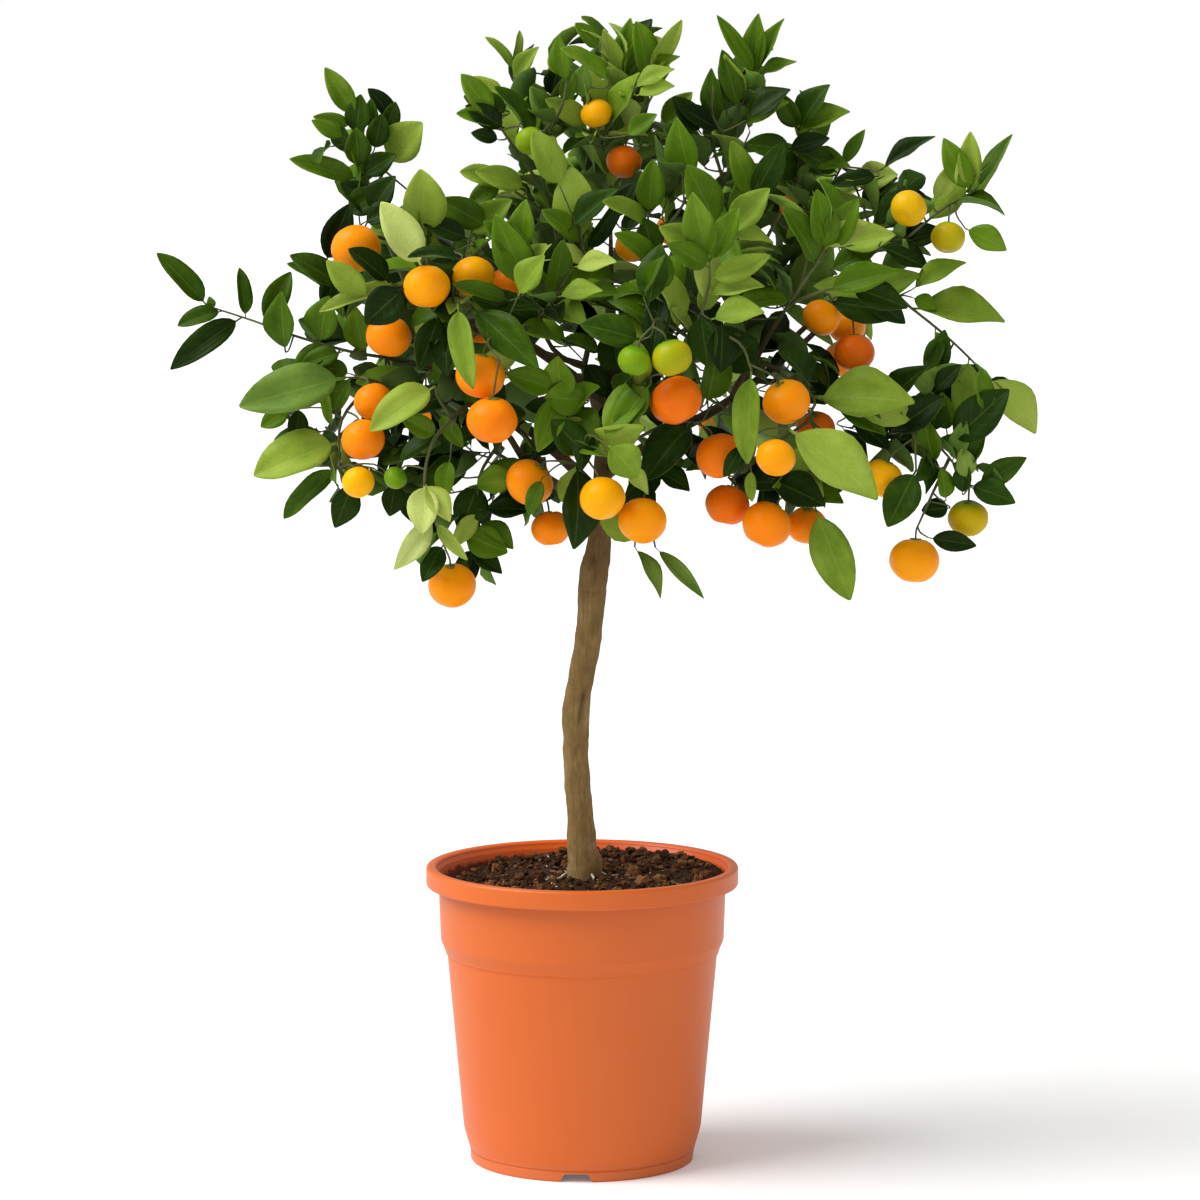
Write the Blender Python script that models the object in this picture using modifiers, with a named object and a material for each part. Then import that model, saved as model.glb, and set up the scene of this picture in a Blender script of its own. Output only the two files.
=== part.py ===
"""Potted calamondin tree: a small citrus tree on one bare stem, in a plastic nursery pot.

Run it with: blender --background --python part.py
Units are metres, +Z is up, and the origin is the centre of the pot's underside.
"""

import math
import random

import bmesh
import bpy
from mathutils import Matrix, Vector
from mathutils.bvhtree import BVHTree

MM = 0.001
CM = 0.01
GAP = 0.3 * MM                   # clearance between pieces that rest on each other
ROUND_GAP = 1.5 * GAP            # the same between round walls, whose facets come closer
MERGE = 0.001 * MM
COLLECTION = "potted_calamondin_tree"
CUTTERS = "cutters"

# Pot, in mm.
POT_HEIGHT = 210.0
RIM_RADIUS = 110.0
WALL = 2.0
FOOT_RADIUS = 79.3
FLOOR_UNDER = 4.5                # the floor stands this far above the foot ring's base
FLOOR_TOP = FLOOR_UNDER + WALL
PAD_RADIUS = 20.0                # the moulding's gate pad, which comes down to the ground
POT_STEPS = 32
DRAIN_HOLES = 8
DRAIN_DIAMETER = 10.0
DRAIN_CIRCLE = 55.0
NOTCHES = 4
NOTCH_FIRST = -93.0              # degrees round from +X: just left of the front
NOTCH_WIDTHS = (23.0, 16.0)      # at the ground, and at the top
NOTCH_HEIGHT = 5.8
NOTCH_DEPTH = 12.0

# Soil, in mm.
SOIL_EDGE = 193.0
SOIL_CROWN = 198.0
SOIL_STEPS = 32

# Trunk: centre x, y, z and radius, in cm, from the root stub up to the leader's end.
TRUNK = [
    (0.0, 0.1, 12.0, 0.80), (0.1, 0.1, 17.0, 1.10), (0.1, 0.1, 19.4, 1.22), (0.15, 0.1, 20.8, 1.20),
    (0.0, 0.0, 22.2, 1.02), (-0.2, 0.0, 25.2, 0.92), (-0.45, 0.0, 28.8, 0.88),
    (-0.4, 0.0, 32.0, 0.94), (-0.1, 0.0, 34.2, 0.90), (0.4, 0.0, 36.7, 0.89),
    (0.65, 0.0, 39.6, 0.94), (0.8, 0.0, 41.6, 1.02), (1.1, 0.0, 43.4, 0.86),
    (1.3, 0.0, 45.4, 0.72), (1.4, 0.0, 48.0, 0.72), (1.6, 0.3, 52.0, 0.55),
    (1.9, 0.2, 57.0, 0.42), (2.0, 0.0, 61.0, 0.32),
]
TRUNK_SIDES = 8
ROOT_TOP = 22.0                  # cm: the trunk's points below this are in the soil's hole
LEADER_FROM = 45.0               # cm: the trunk above this carries shoots of its own
PRUNED_STUB = [(0.9, 0.0, 41.2, 0.60), (0.32, -0.2, 42.5, 0.50)]

# Limbs that leave the trunk: centre x, y, z in cm. Each starts inside the wood that carries it.
LIMB_RADII = (0.46, 0.28)
LIMBS = {
    "left": [(1.3, 0.0, 47.0), (-1.5, -1.5, 50.0), (-5.0, -3.0, 53.0), (-8.5, -4.0, 56.0)],
    "left_low": [(1.2, -0.1, 46.0), (-1.5, -3.5, 48.0), (-4.0, -6.0, 50.0)],
    "right": [(1.5, 0.0, 48.5), (5.0, -1.5, 51.0), (9.5, -3.0, 53.5), (13.5, -3.5, 56.5)],
    "front": [(1.5, 0.0, 49.5), (2.3, -3.0, 51.5), (3.2, -5.5, 54.0), (4.0, -6.5, 57.0)],
    "back": [(1.6, 0.2, 50.5), (1.0, 3.0, 53.0), (0.0, 6.0, 56.0)],
    "back_right": [(1.6, 0.3, 51.5), (5.0, 3.5, 54.0), (9.0, 5.5, 57.5)],
    "upper_left": [(1.7, 0.3, 53.5), (-2.0, 0.0, 56.5), (-6.5, -1.5, 59.5)],
    "upper_right": [(1.8, 0.2, 55.5), (5.0, 0.8, 58.5), (9.5, 1.5, 61.0)],
}
BRANCH_RADII = (0.26, 0.17)
STRAIGHT_END = 0.5               # cm of straight wood where a branch meets its shoot
ROOTED = 0.02                    # how far before its station a branch starts, inside its limb

# Shoots. "limb" and "at" say which limb carries the shoot and how far along it.
# "routes" are centre lines in cm: the first is the stem, and the others leave a stem's point.
# "leaves" are (route, station, heading, towards, length, width): station runs 0 to 1 along the
# route, heading is the way the leaf points seen from the front, in degrees, 0 right and 90 up,
# and towards tilts it to the front (-Y), in degrees. Length and width are in cm.
# "fill" is the length in cm of the leaves that stand between them in a spiral.
SHOOTS = {
    "left_reach": dict(
        limb="left", at=1.0, fill=3.2,
        routes=[[(-13.5, -4, 57), (-16, -5, 57.5), (-19.5, -5, 58.5), (-22.5, -4, 59.5),
                 (-25.5, -3, 60.5)]],
        leaves=[(0, 1.0, 138, 5, 4.6, 1.2), (0, 0.88, 213, 10, 5.4, 1.5), (0, 0.85, 91, -5, 2.8, 1.0),
                (0, 0.95, 180, 0, 3.5, 0.9), (0, 0.56, 80, 10, 4.4, 2.1), (0, 0.62, 86, -15, 4.6, 1.5),
                (0, 0.36, 92, 10, 3.6, 2.2), (0, 0.3, 215, 15, 3.2, 1.6)]),
    "left_mid": dict(
        limb="left", at=0.85, fill=3.6,
        routes=[[(-12, -6.5, 54.8), (-14.5, -7, 55.6), (-16, -8, 55.6)],
                [(-14.3, -7, 55.5), (-16.3, -8.3, 53), (-16.6, -9, 50.5)]],
        leaves=[(0, 1.0, 195, 5, 7.4, 2.8), (1, 0.6, 203, 8, 6.2, 3.0), (1, 1.0, 223, -10, 5.4, 1.7),
                (1, 1.0, 248, 0, 3.6, 1.7), (0, 0.9, 240, -15, 3.0, 1.8), (0, 0.15, 209, 55, 6.4, 2.4)]),
    "upper_left": dict(
        limb="upper_left", at=1.0, fill=3.4,
        routes=[[(-12, -2, 61.5), (-13.5, -1, 65), (-14.5, 0, 68), (-15.5, 0, 71), (-16, 0, 73.5)],
                [(-14.5, 0, 68), (-13.5, 1, 70.5), (-13, 1, 73)],
                [(-13.5, -1, 65), (-16, -3, 65.5), (-17, -4, 63.5)]],
        leaves=[(0, 1.0, 119, 5, 3.6, 1.3), (0, 0.98, 62, 10, 2.8, 1.2), (0, 0.72, 176, 10, 4.2, 1.3),
                (0, 0.55, 172, 20, 4.0, 1.6), (1, 0.6, 45, 10, 3.6, 1.8), (1, 1.0, 105, 0, 3.0, 1.2),
                (0, 0.95, 168, 10, 2.8, 1.0), (2, 1.0, 262, 5, 3.8, 1.6), (0, 0.5, 50, 15, 3.6, 1.6),
                (0, 0.62, 112, 25, 3.4, 1.6)]),
    "upper_left_front": dict(
        limb="upper_left", at=0.8, fill=3.6,
        routes=[[(-9, -7, 61), (-10.5, -8.5, 63.5), (-11, -9, 65.5)],
                [(-9.4, -7.4, 61.7), (-8, -7, 63.5), (-7.5, -6.5, 66)],
                [(-9.5, -7.5, 61.9), (-7.4, -11.5, 61), (-7.8, -12.8, 60.2)],
                [(-9.6, -7.6, 62), (-11.8, -9, 61.4)],
                [(-10.1, -8.1, 62.8), (-10.4, -10.5, 64.6), (-10.3, -12, 65)]],
        leaves=[(0, 1.0, 95, 10, 4.3, 2.4), (0, 0.7, 122, 35, 5.0, 2.3), (1, 0.9, 40, 10, 3.8, 1.8),
                (3, 1.0, 196, 15, 5.0, 1.1), (2, 0.8, 279, 15, 5.2, 1.4), (2, 0.5, 5, 10, 5.6, 1.2),
                (3, 0.8, 217, 10, 3.8, 1.9), (1, 1.0, 100, 10, 3.6, 1.7)]),
    "young_left": dict(
        limb="left_low", at=1.0, fill=3.0,
        routes=[[(-8.5, -11, 53.5), (-10, -13, 51.8), (-10.5, -13.2, 49), (-9.8, -12.5, 46.5),
                 (-9.2, -10.5, 44.4)]],
        leaves=[(0, 0.5, 268, 15, 3.4, 2.0), (0, 0.7, 234, 10, 4.5, 1.5), (0, 0.75, 311, 15, 3.4, 0.9),
                (0, 0.5, 305, 20, 3.2, 1.5), (0, 0.95, 240, 20, 3.0, 1.5), (0, 0.2, 150, 20, 3.0, 1.4)]),
    "left_low": dict(
        limb="left_low", at=0.7, fill=3.6,
        routes=[[(-5.5, -6, 51.5), (-7, -7, 49), (-7, -7.5, 46)],
                [(-6, -6.3, 50.7), (-3.6, -7, 49.3), (-2.6, -7.6, 48)]],
        leaves=[(0, 1.0, 322, 10, 3.0, 1.5), (0, 0.9, 232, 15, 3.0, 1.2), (0, 0.55, 250, 10, 3.8, 2.2),
                (0, 0.98, 270, -10, 3.2, 1.2), (0, 0.3, 330, 15, 3.8, 1.8)]),
    "centre_left": dict(
        limb="front", at=0.9, fill=3.8,
        routes=[[(-2.5, -9, 59), (-3.5, -11, 62), (-4, -12, 64.5)],
                [(-2.8, -9.5, 59.9), (-1.5, -11, 62), (-0.5, -11, 63.5)],
                [(-2.7, -9.4, 59.7), (-4.8, -13, 59.2), (-6.2, -15, 58.8), (-5.4, -17, 57.6)]],
        leaves=[(0, 0.6, 107, 15, 4.9, 2.2), (1, 0.4, 80, 10, 4.2, 1.8), (0, 0.12, 160, 15, 5.6, 2.2),
                (0, 0.7, 60, 30, 3.2, 2.0), (1, 1.0, 8, 25, 3.2, 1.4), (0, 1.0, 140, 15, 3.4, 1.5),
                (0, 1.0, 85, 5, 3.6, 1.6)]),
    "top_left": dict(
        limb="leader", at=0.85, fill=3.3,
        routes=[[(-1.5, -3, 64.5), (-2.5, -4, 68.5), (-3, -3, 72), (-4, -2, 75), (-4, -1, 77)],
                [(-2.5, -4, 68.5), (-4, -5.5, 70.5), (-6, -6, 73.5)],
                [(-2, -3.5, 66.5), (-4, -4.5, 68), (-5.5, -4.5, 69)],
                [(-3, -3, 72), (-1.5, -5.5, 73.8), (-1, -6, 75.8)]],
        leaves=[(0, 1.0, 80, 0, 2.4, 0.7), (0, 0.97, 131, 0, 3.0, 0.8), (0, 0.9, 55, 10, 3.0, 1.2),
                (1, 1.0, 127, 5, 3.6, 1.6), (1, 0.9, 165, 10, 3.0, 1.3), (2, 1.0, 165, 15, 3.0, 1.6),
                (2, 1.0, 215, 10, 2.8, 1.4), (0, 0.6, 300, 45, 3.8, 2.0), (3, 1.0, 100, 5, 3.2, 1.4)]),
    "top_mid": dict(
        limb="leader", at=1.0, fill=3.4,
        routes=[[(2, 0, 65), (2, -1, 69), (2.5, -2, 73), (3, -2, 76.2)],
                [(2.2, -1.2, 70), (0.5, -4, 73), (0, -5, 75.5)],
                [(2.3, -1.4, 71), (4.5, -3, 74), (5, -4, 75.5)],
                [(2, -0.8, 68.5), (4, 2, 70.5), (5.5, 3, 72.5)]],
        leaves=[(0, 1.0, 85, 0, 4.0, 1.4), (0, 0.98, 113, 10, 3.8, 1.3), (0, 0.96, 64, 10, 3.8, 1.6),
                (2, 1.0, 59, 0, 4.4, 1.5), (2, 0.95, 35, 15, 2.8, 1.2), (1, 1.0, 122, 10, 3.4, 1.5),
                (1, 1.0, 80, 5, 4.2, 1.5), (3, 1.0, 50, 0, 3.4, 1.5), (1, 0.6, 150, 15, 3.6, 1.6)]),
    "top_right": dict(
        limb="upper_right", at=0.6, fill=3.6,
        routes=[[(7.5, 2, 65), (9.5, 1, 68), (10.5, 0, 71), (11, 0, 74), (12, -1, 76.2)],
                [(9.8, 0.7, 69), (9, 3, 72), (8.5, 4, 74.5)],
                [(10.5, 0, 71), (9, -3, 73.5), (9, -4, 75.5)]],
        leaves=[(0, 1.0, 123, 5, 5.0, 1.3), (0, 1.0, 88, 10, 3.6, 1.2), (0, 1.0, 57, 0, 4.8, 1.3),
                (0, 0.95, 15, 10, 3.0, 1.2), (0, 0.85, 115, 20, 3.6, 1.6), (0, 0.7, 25, 15, 4.0, 1.6),
                (2, 1.0, 105, 5, 3.6, 1.5), (1, 1.0, 110, -10, 3.6, 1.5), (2, 0.7, 175, 10, 3.8, 1.6)]),
    "right_top": dict(
        limb="upper_right", at=1.0, fill=3.6,
        routes=[[(12.5, 4, 64), (14, 3, 67), (15, 1, 69.5), (15, 0, 72.5)],
                [(14, 3, 67), (17, 1, 68.5), (18, 0, 70)]],
        leaves=[(0, 1.0, 56, 5, 3.8, 1.5), (0, 1.0, 17, 10, 3.8, 1.3), (0, 1.0, 120, 10, 3.2, 1.4),
                (1, 1.0, 58, 0, 3.0, 0.9), (0, 0.6, 122, 25, 4.0, 1.8), (0, 0.8, 350, 20, 3.8, 1.6),
                (1, 0.9, 150, 15, 3.6, 1.6)]),
    "right_up": dict(
        limb="right", at=1.0, fill=3.6,
        routes=[[(18.5, -1, 61.5), (20, -2, 64), (22, -4, 65), (24.5, -4, 67), (27, -4, 68.5)],
                [(20.3, -2.3, 64.2), (20, 0, 67), (19.5, 1, 69)]],
        leaves=[(0, 0.55, 56, 5, 5.2, 1.4), (0, 0.9, 112, 5, 4.2, 1.5), (0, 0.96, 90, 0, 4.2, 1.5),
                (0, 1.0, 55, 0, 4.5, 1.1), (0, 0.8, 330, 10, 4.0, 1.5), (1, 1.0, 8, 25, 3.4, 1.9),
                (0, 0.72, 60, 25, 3.4, 1.1), (0, 0.78, 300, 35, 3.0, 1.8), (0, 0.45, 20, 10, 3.6, 1.5)]),
    "right_reach": dict(
        limb="right", at=0.97, fill=3.6,
        routes=[[(17.5, -4, 60.5), (20.5, -5, 62), (22.5, -5, 60.5), (25, -5, 58.5), (27, -5, 56.5),
                 (28, -5, 55.5)]],
        leaves=[(0, 0.42, 355, 10, 6.4, 2.2), (0, 0.3, 25, 5, 5.0, 1.5), (0, 0.68, 250, 10, 3.2, 1.3),
                (0, 0.86, 264, 5, 4.6, 1.8), (0, 1.0, 312, 5, 5.2, 2.0), (0, 0.1, 20, 15, 5.0, 1.9)]),
    "right_low": dict(
        limb="right", at=0.9, fill=3.4,
        routes=[[(19, -5, 54), (22, -6, 53), (24.5, -7, 51), (26.5, -7, 48.5)],
                [(24.5, -7, 51), (27, -8, 52.5), (27.5, -8, 53.5)],
                [(21.8, -6, 53.1), (22.5, -9, 52), (22.6, -10.5, 49.8)],
                [(25.1, -7, 50.3), (24, -7.2, 48), (22.9, -8, 45.7)]],
        leaves=[(2, 0.7, 250, 10, 4.4, 2.4), (1, 0.3, 45, 10, 5.4, 2.6), (0, 1.0, 26, 5, 3.4, 1.4),
                (0, 1.0, 345, 15, 3.4, 1.4), (0, 0.8, 75, 15, 3.2, 1.3), (0, 0.15, 42, 20, 4.8, 1.7),
                (3, 0.95, 342, 5, 3.6, 1.3), (1, 1.0, 100, 10, 3.0, 1.4)]),
    "right_mid": dict(
        limb="right", at=0.75, fill=3.8,
        routes=[[(13.5, -7.5, 56.2), (16.5, -9, 55.6), (18, -9, 55)],
                [(14.5, -7.9, 56), (15.8, -11, 54), (15.3, -13.6, 52.7)],
                [(14.3, -7.9, 56), (15.8, -8, 52.5), (15.6, -10.5, 49.2), (17, -11.2, 47.2)],
                [(15.6, -8, 53), (12.6, -7.8, 51), (11, -8.6, 49.8)]],
        leaves=[(0, 0.7, 3, 10, 7.0, 3.1), (1, 1.0, 320, 10, 7.2, 3.2), (2, 1.0, 291, 0, 6.6, 2.6),
                (2, 0.7, 338, 10, 3.8, 2.0), (0, 1.0, 330, 10, 4.2, 1.8)]),
    "centre_front": dict(
        limb="front", at=1.0, fill=3.8,
        routes=[[(7, -10, 58), (8, -13, 60.5), (8.5, -14, 62.5), (8.5, -14, 64)],
                [(7.4, -11.2, 59), (5.5, -13, 61.5), (5, -12.5, 63.5)],
                [(7.7, -12.1, 59.8), (10.5, -14, 58.6), (11.3, -15, 56.8)],
                [(7.3, -10.9, 58.7), (5.2, -14.5, 60.2), (4.7, -16.6, 59.8)]],
        leaves=[(0, 0.7, 10, 15, 4.0, 1.6), (0, 0.85, 22, 10, 4.4, 1.5), (0, 1.0, 62, 10, 4.2, 1.6),
                (0, 1.0, 104, 10, 4.8, 2.0), (0, 0.5, 278, 15, 3.6, 2.0), (2, 1.0, 268, 0, 6.2, 1.9),
                (1, 1.0, 140, 15, 3.8, 1.7), (1, 0.7, 262, 15, 4.2, 1.8), (0, 0.95, 150, 25, 3.6, 1.6)]),
    "centre_right": dict(
        limb="right", at=0.8, fill=4.0,
        routes=[[(13.5, -8, 60), (15, -10, 62.5), (16.5, -10, 64.5)],
                [(13.9, -8.6, 60.8), (16, -10.5, 61.8), (18, -10.5, 62.2)]],
        leaves=[(1, 0.7, 15, 10, 5.0, 1.8), (1, 1.0, 340, 10, 4.2, 1.8), (0, 0.8, 120, 15, 4.8, 2.0),
                (0, 1.0, 60, 10, 4.2, 1.8), (0, 1.0, 100, 15, 4.4, 1.9), (0, 0.3, 190, 15, 4.2, 1.9)]),
    "centre_low": dict(
        limb="front", at=0.6, fill=3.6,
        routes=[[(1, -9, 53), (0.3, -12, 51.8), (-0.3, -12.2, 50.4)],
                [(0.9, -9.8, 52.7), (-1, -11.5, 54.3), (-1.8, -12, 55.3)],
                [(0.9, -9.7, 52.7), (3.2, -12.5, 54.4), (4.4, -14, 56.2)],
                [(0.9, -9.6, 52.8), (3.5, -9, 51.8), (5.8, -9.4, 50), (6.2, -9.9, 47.5), (5.4, -10, 44.4)],
                [(3.5, -9, 51.8), (6, -10, 53), (7.5, -10.5, 53)]],
        leaves=[(1, 0.8, 95, 20, 3.2, 2.2), (1, 0.5, 45, 35, 3.0, 1.8), (2, 0.95, 233, 25, 4.8, 2.4),
                (1, 0.6, 305, 30, 3.6, 2.3), (1, 0.9, 250, 20, 4.2, 1.8), (0, 0.5, 320, 60, 3.6, 2.6),
                (0, 1.0, 268, 0, 5.8, 2.6), (3, 1.0, 292, 10, 4.2, 1.5), (3, 1.0, 314, 10, 5.0, 1.2),
                (4, 1.0, 243, 15, 5.0, 2.8), (1, 1.0, 160, 15, 3.6, 1.8)]),
    "upper_mid": dict(
        limb="leader", at=0.8, fill=4.0,
        routes=[[(4, -4, 61), (4.5, -7, 64.5), (4.5, -8, 67)],
                [(4, -4.6, 61.7), (1, -7, 63), (0, -7.5, 65)],
                [(4.5, -7, 64.5), (6.5, -8, 67), (7.5, -8.5, 69)],
                [(4.5, -7, 64.5), (8.5, -8.5, 65.5), (11.5, -9, 68)]],
        leaves=[(1, 0.3, 178, 40, 5.4, 1.8), (0, 0.9, 153, 30, 4.0, 1.7), (1, 1.0, 140, 15, 3.6, 1.6),
                (1, 0.9, 56, 15, 4.8, 1.2), (2, 1.0, 104, 5, 4.6, 2.0), (3, 1.0, 62, 10, 4.4, 1.8),
                (3, 1.0, 110, 10, 4.2, 1.7), (3, 0.6, 300, 40, 4.4, 2.0), (0, 1.0, 85, 15, 3.8, 1.8)]),
    "back_left": dict(
        limb="back", at=1.0, fill=4.2,
        routes=[[(-6, 8, 58), (-10, 11, 60), (-14, 12, 62), (-17.5, 11, 63.5)],
                [(-6.8, 8.6, 58.4), (-8.5, 13, 57.2), (-11.5, 16, 55)],
                [(-8, 9.5, 59), (-7.5, 14, 62.5), (-8.5, 16, 66)]],
        leaves=[]),
    "back_mid": dict(
        limb="back", at=0.97, fill=4.2,
        routes=[[(0.5, 10, 60), (0, 14, 64), (0, 15, 68), (0.5, 13, 71.5)],
                [(0.4, 10.7, 60.7), (2.5, 16, 61), (3.5, 19, 60.2)],
                [(0.1, 13, 63), (-4, 15, 66), (-6.5, 14, 69)]],
        leaves=[]),
    "back_right": dict(
        limb="back_right", at=1.0, fill=4.2,
        routes=[[(12.5, 8, 60), (15.5, 11, 63), (17, 11.5, 66.5)],
                [(13, 8.5, 60.5), (16.5, 12.5, 59.8), (20, 13.5, 58.3)],
                [(13.5, 9, 61), (10.5, 14, 63.5), (9.5, 16, 67)]],
        leaves=[]),
    "back_low": dict(
        limb="back_right", at=0.5, fill=4.2,
        routes=[[(6.5, 8, 54), (9, 12.5, 54.5), (11.5, 16, 53)],
                [(7, 8.9, 54.1), (3, 13.5, 54), (-0.5, 16.5, 52.3)],
                [(7.3, 9.4, 54.2), (11.5, 10.5, 51.8), (15, 11.5, 50)]],
        leaves=[]),
}
SHOOT_RADII = (0.17, 0.09)
LEAF_SPACING = 1.5               # cm between the leaves of a spiral
LEAF_TURN = 144.0                # degrees round the stem from one leaf to the next
LEAF_LEAN = 52.0                 # degrees between a spiral leaf and its stem
LEAN_SPREAD = 12.0
LIFT_RANGE = (-0.1, 0.25)        # what a spiral leaf's direction is raised by
SIZE_RANGE = (0.85, 1.2)         # a spiral leaf's length over its shoot's "fill"
WIDTH_RANGE = (0.38, 0.5)        # its width over its length
FACE_MIX = (0.6, 0.7, 0.3)       # how its upper side turns outwards, upwards and along the stem
FILL_EVERY = {True: 9, False: 3}  # spiral leaves to one in the solids, with listed leaves or none
FACE_UP = 40.0                   # degrees that a leaf's upper side turns from the front to the sky
LEAF_DROOP = 0.10                # how far the tip drops, as a part of the length
LEAF_FOLD = 0.16                 # how far the edges rise, as a part of the width
LEAF_THICK = 0.9 * MM
LEAF_CLEAR = 0.5 * MM            # kept free round every leaf
# Swing and pitch, in degrees, that a leaf tries in turn until it touches nothing.
LEAF_TRIES = [(0, 0), (0, 14), (0, -14), (14, 0), (-14, 0), (0, 28), (20, 20), (-20, 20),
              (0, -28), (28, 0), (-28, 0), (30, 30), (-30, 30)]
# Leaf outline: (height on the sphere it is shaped from, place along the leaf, part of its width).
LEAF_OUTLINE = [(0.0, -0.02, 0.0), (0.25, 0.40, 1.0), (0.75, 0.76, 0.68), (1.0, 1.0, 0.0)]
CROWN_CENTRE = Vector((1.2, 0.0, 57.0))

# Fruits: centre x, y, z and width, in cm, and colour.
FRUITS = [
    (-15.3, -7.0, 64.6, 3.40, "orange"), (-10.3, -13.0, 62.3, 3.20, "orange"),
    (-7.3, -9.5, 62.8, 2.97, "yellow"), (-13.0, -10.0, 58.8, 3.10, "orange"),
    (-14.1, -8.6, 54.3, 2.71, "orange"), (-14.7, -11.0, 51.9, 2.96, "orange"),
    (-15.0, -12.0, 49.1, 2.24, "yellow"), (-12.5, -12.0, 49.4, 1.61, "green"),
    (-6.7, -14.0, 56.4, 3.33, "orange"), (-5.9, -16.2, 53.6, 3.44, "orange"),
    (-8.8, -9.0, 41.8, 3.31, "orange"), (-3.5, -11.0, 49.0, 3.29, "orange"),
    (-2.1, -8.0, 45.6, 2.71, "orange"), (1.4, -15.0, 48.3, 3.18, "yellow"),
    (4.1, -13.0, 46.6, 3.27, "orange"), (3.5, -17.0, 57.6, 2.17, "green"),
    (6.0, -17.0, 57.8, 2.70, "green"), (6.3, -14.6, 54.8, 3.45, "orange"),
    (9.3, -12.0, 50.9, 3.28, "orange"), (12.9, -16.0, 51.1, 2.64, "orange"),
    (13.7, -13.0, 54.6, 3.20, "orange"), (9.9, -9.0, 47.3, 3.04, "orange"),
    (12.5, -11.5, 46.2, 3.35, "orange"), (15.3, -9.0, 45.9, 2.77, "orange"),
    (20.4, -9.0, 49.1, 2.77, "yellow"), (26.5, -6.0, 46.1, 2.80, "green"),
    (22.7, -8.0, 43.4, 3.46, "orange"), (18.7, -5.0, 57.4, 2.88, "orange"),
    (22.2, -7.0, 67.3, 2.52, "yellow"), (25.0, -5.5, 65.3, 2.40, "green"),
    (2.9, -4.0, 70.4, 2.48, "orange"), (-11.5, 16.4, 52.3, 3.20, "orange"),
    (3.8, 19.3, 57.6, 3.10, "orange"), (19.0, 14.0, 55.8, 3.00, "orange"),
]
FRUIT_FLATNESS = 0.9             # height over width
STALK_RADII = (0.09, 0.08)
STALK_RISE = 0.5                 # cm that a stalk runs along the fruit's axis before it bends
STALK_FROM = 0.75                # widths above a fruit's centre that its twig is looked for
STALK_LEAN = 1.3                 # how much a fruit's axis follows the way to its twig
STALK_STEPS = 12                 # places tried along each twig

COLOURS = {
    "pot": (0.78, 0.20, 0.055), "soil": (0.035, 0.018, 0.010), "bark": (0.18, 0.125, 0.055),
    "leaf": (0.06, 0.15, 0.015), "orange": (0.90, 0.22, 0.01), "yellow": (0.92, 0.42, 0.01),
    "green": (0.36, 0.42, 0.02),
}
ROUGHNESS = {"pot": 0.45, "soil": 0.95, "bark": 0.85, "leaf": 0.40,
             "orange": 0.38, "yellow": 0.38, "green": 0.38}


def clear_scene():
    """Remove every object and empty collection of the scene."""
    for item in list(bpy.data.objects):
        bpy.data.objects.remove(item, do_unlink=True)
    for collection in list(bpy.data.collections):
        bpy.data.collections.remove(collection)


def new_collection(name):
    """Add a collection to the scene."""
    collection = bpy.data.collections.new(name)
    bpy.context.scene.collection.children.link(collection)
    return collection


def make_material(name, finish):
    """A Principled BSDF with the finish's colour and roughness."""
    material = bpy.data.materials.new(name)
    material.use_nodes = True
    shader = material.node_tree.nodes["Principled BSDF"]
    shader.inputs["Base Color"].default_value = (*COLOURS[finish], 1.0)
    shader.inputs["Roughness"].default_value = ROUGHNESS[finish]
    shader.inputs["Metallic"].default_value = 0.0
    material.diffuse_color = (*COLOURS[finish], 1.0)
    return material


def add_object(name, data, collection_name, finish=None):
    """Put mesh or curve data in the scene as a named object."""
    item = bpy.data.objects.new(name, data)
    bpy.data.collections[collection_name].objects.link(item)
    if finish:
        data.materials.clear()
        data.materials.append(make_material(name, finish))
    return item


def mesh_from(shape, name):
    """Turn a bmesh into a mesh and free it."""
    mesh = bpy.data.meshes.new(name)
    shape.to_mesh(mesh)
    shape.free()
    return mesh


def evaluated_mesh(item):
    """The mesh of an object with its modifiers applied."""
    depsgraph = bpy.context.evaluated_depsgraph_get()
    return bpy.data.meshes.new_from_object(item.evaluated_get(depsgraph))


def weld(mesh):
    """Join a curve's loose end caps to its wall."""
    shape = bmesh.new()
    shape.from_mesh(mesh)
    bmesh.ops.remove_doubles(shape, verts=shape.verts, dist=MERGE)
    shape.to_mesh(mesh)
    shape.free()


def remove_object(item):
    """Remove an object and leave its data."""
    bpy.data.objects.remove(item, do_unlink=True)


def tube(name, points, radii, resolution, collection_name=CUTTERS):
    """A round rod along points, with a radius at each, as a mesh object."""
    curve = bpy.data.curves.new(name, "CURVE")
    curve.dimensions = "3D"
    curve.bevel_depth = MM
    curve.bevel_resolution = resolution
    curve.use_fill_caps = True
    spline = curve.splines.new("POLY")
    spline.points.add(len(points) - 1)
    for knot, place, radius in zip(spline.points, points, radii):
        knot.co = (*place, 1.0)
        knot.radius = radius / MM
    guide = add_object(name + "_guide", curve, CUTTERS)
    mesh = evaluated_mesh(guide)
    weld(mesh)
    remove_object(guide)
    bpy.data.curves.remove(curve)
    return add_object(name, mesh, collection_name)


def is_closed(mesh):
    """Whether every edge of a mesh joins exactly two faces and the faces point outwards."""
    shape = bmesh.new()
    shape.from_mesh(mesh)
    closed = all(edge.is_manifold for edge in shape.edges) and shape.calc_volume(signed=True) > 0.0
    shape.free()
    return closed


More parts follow.
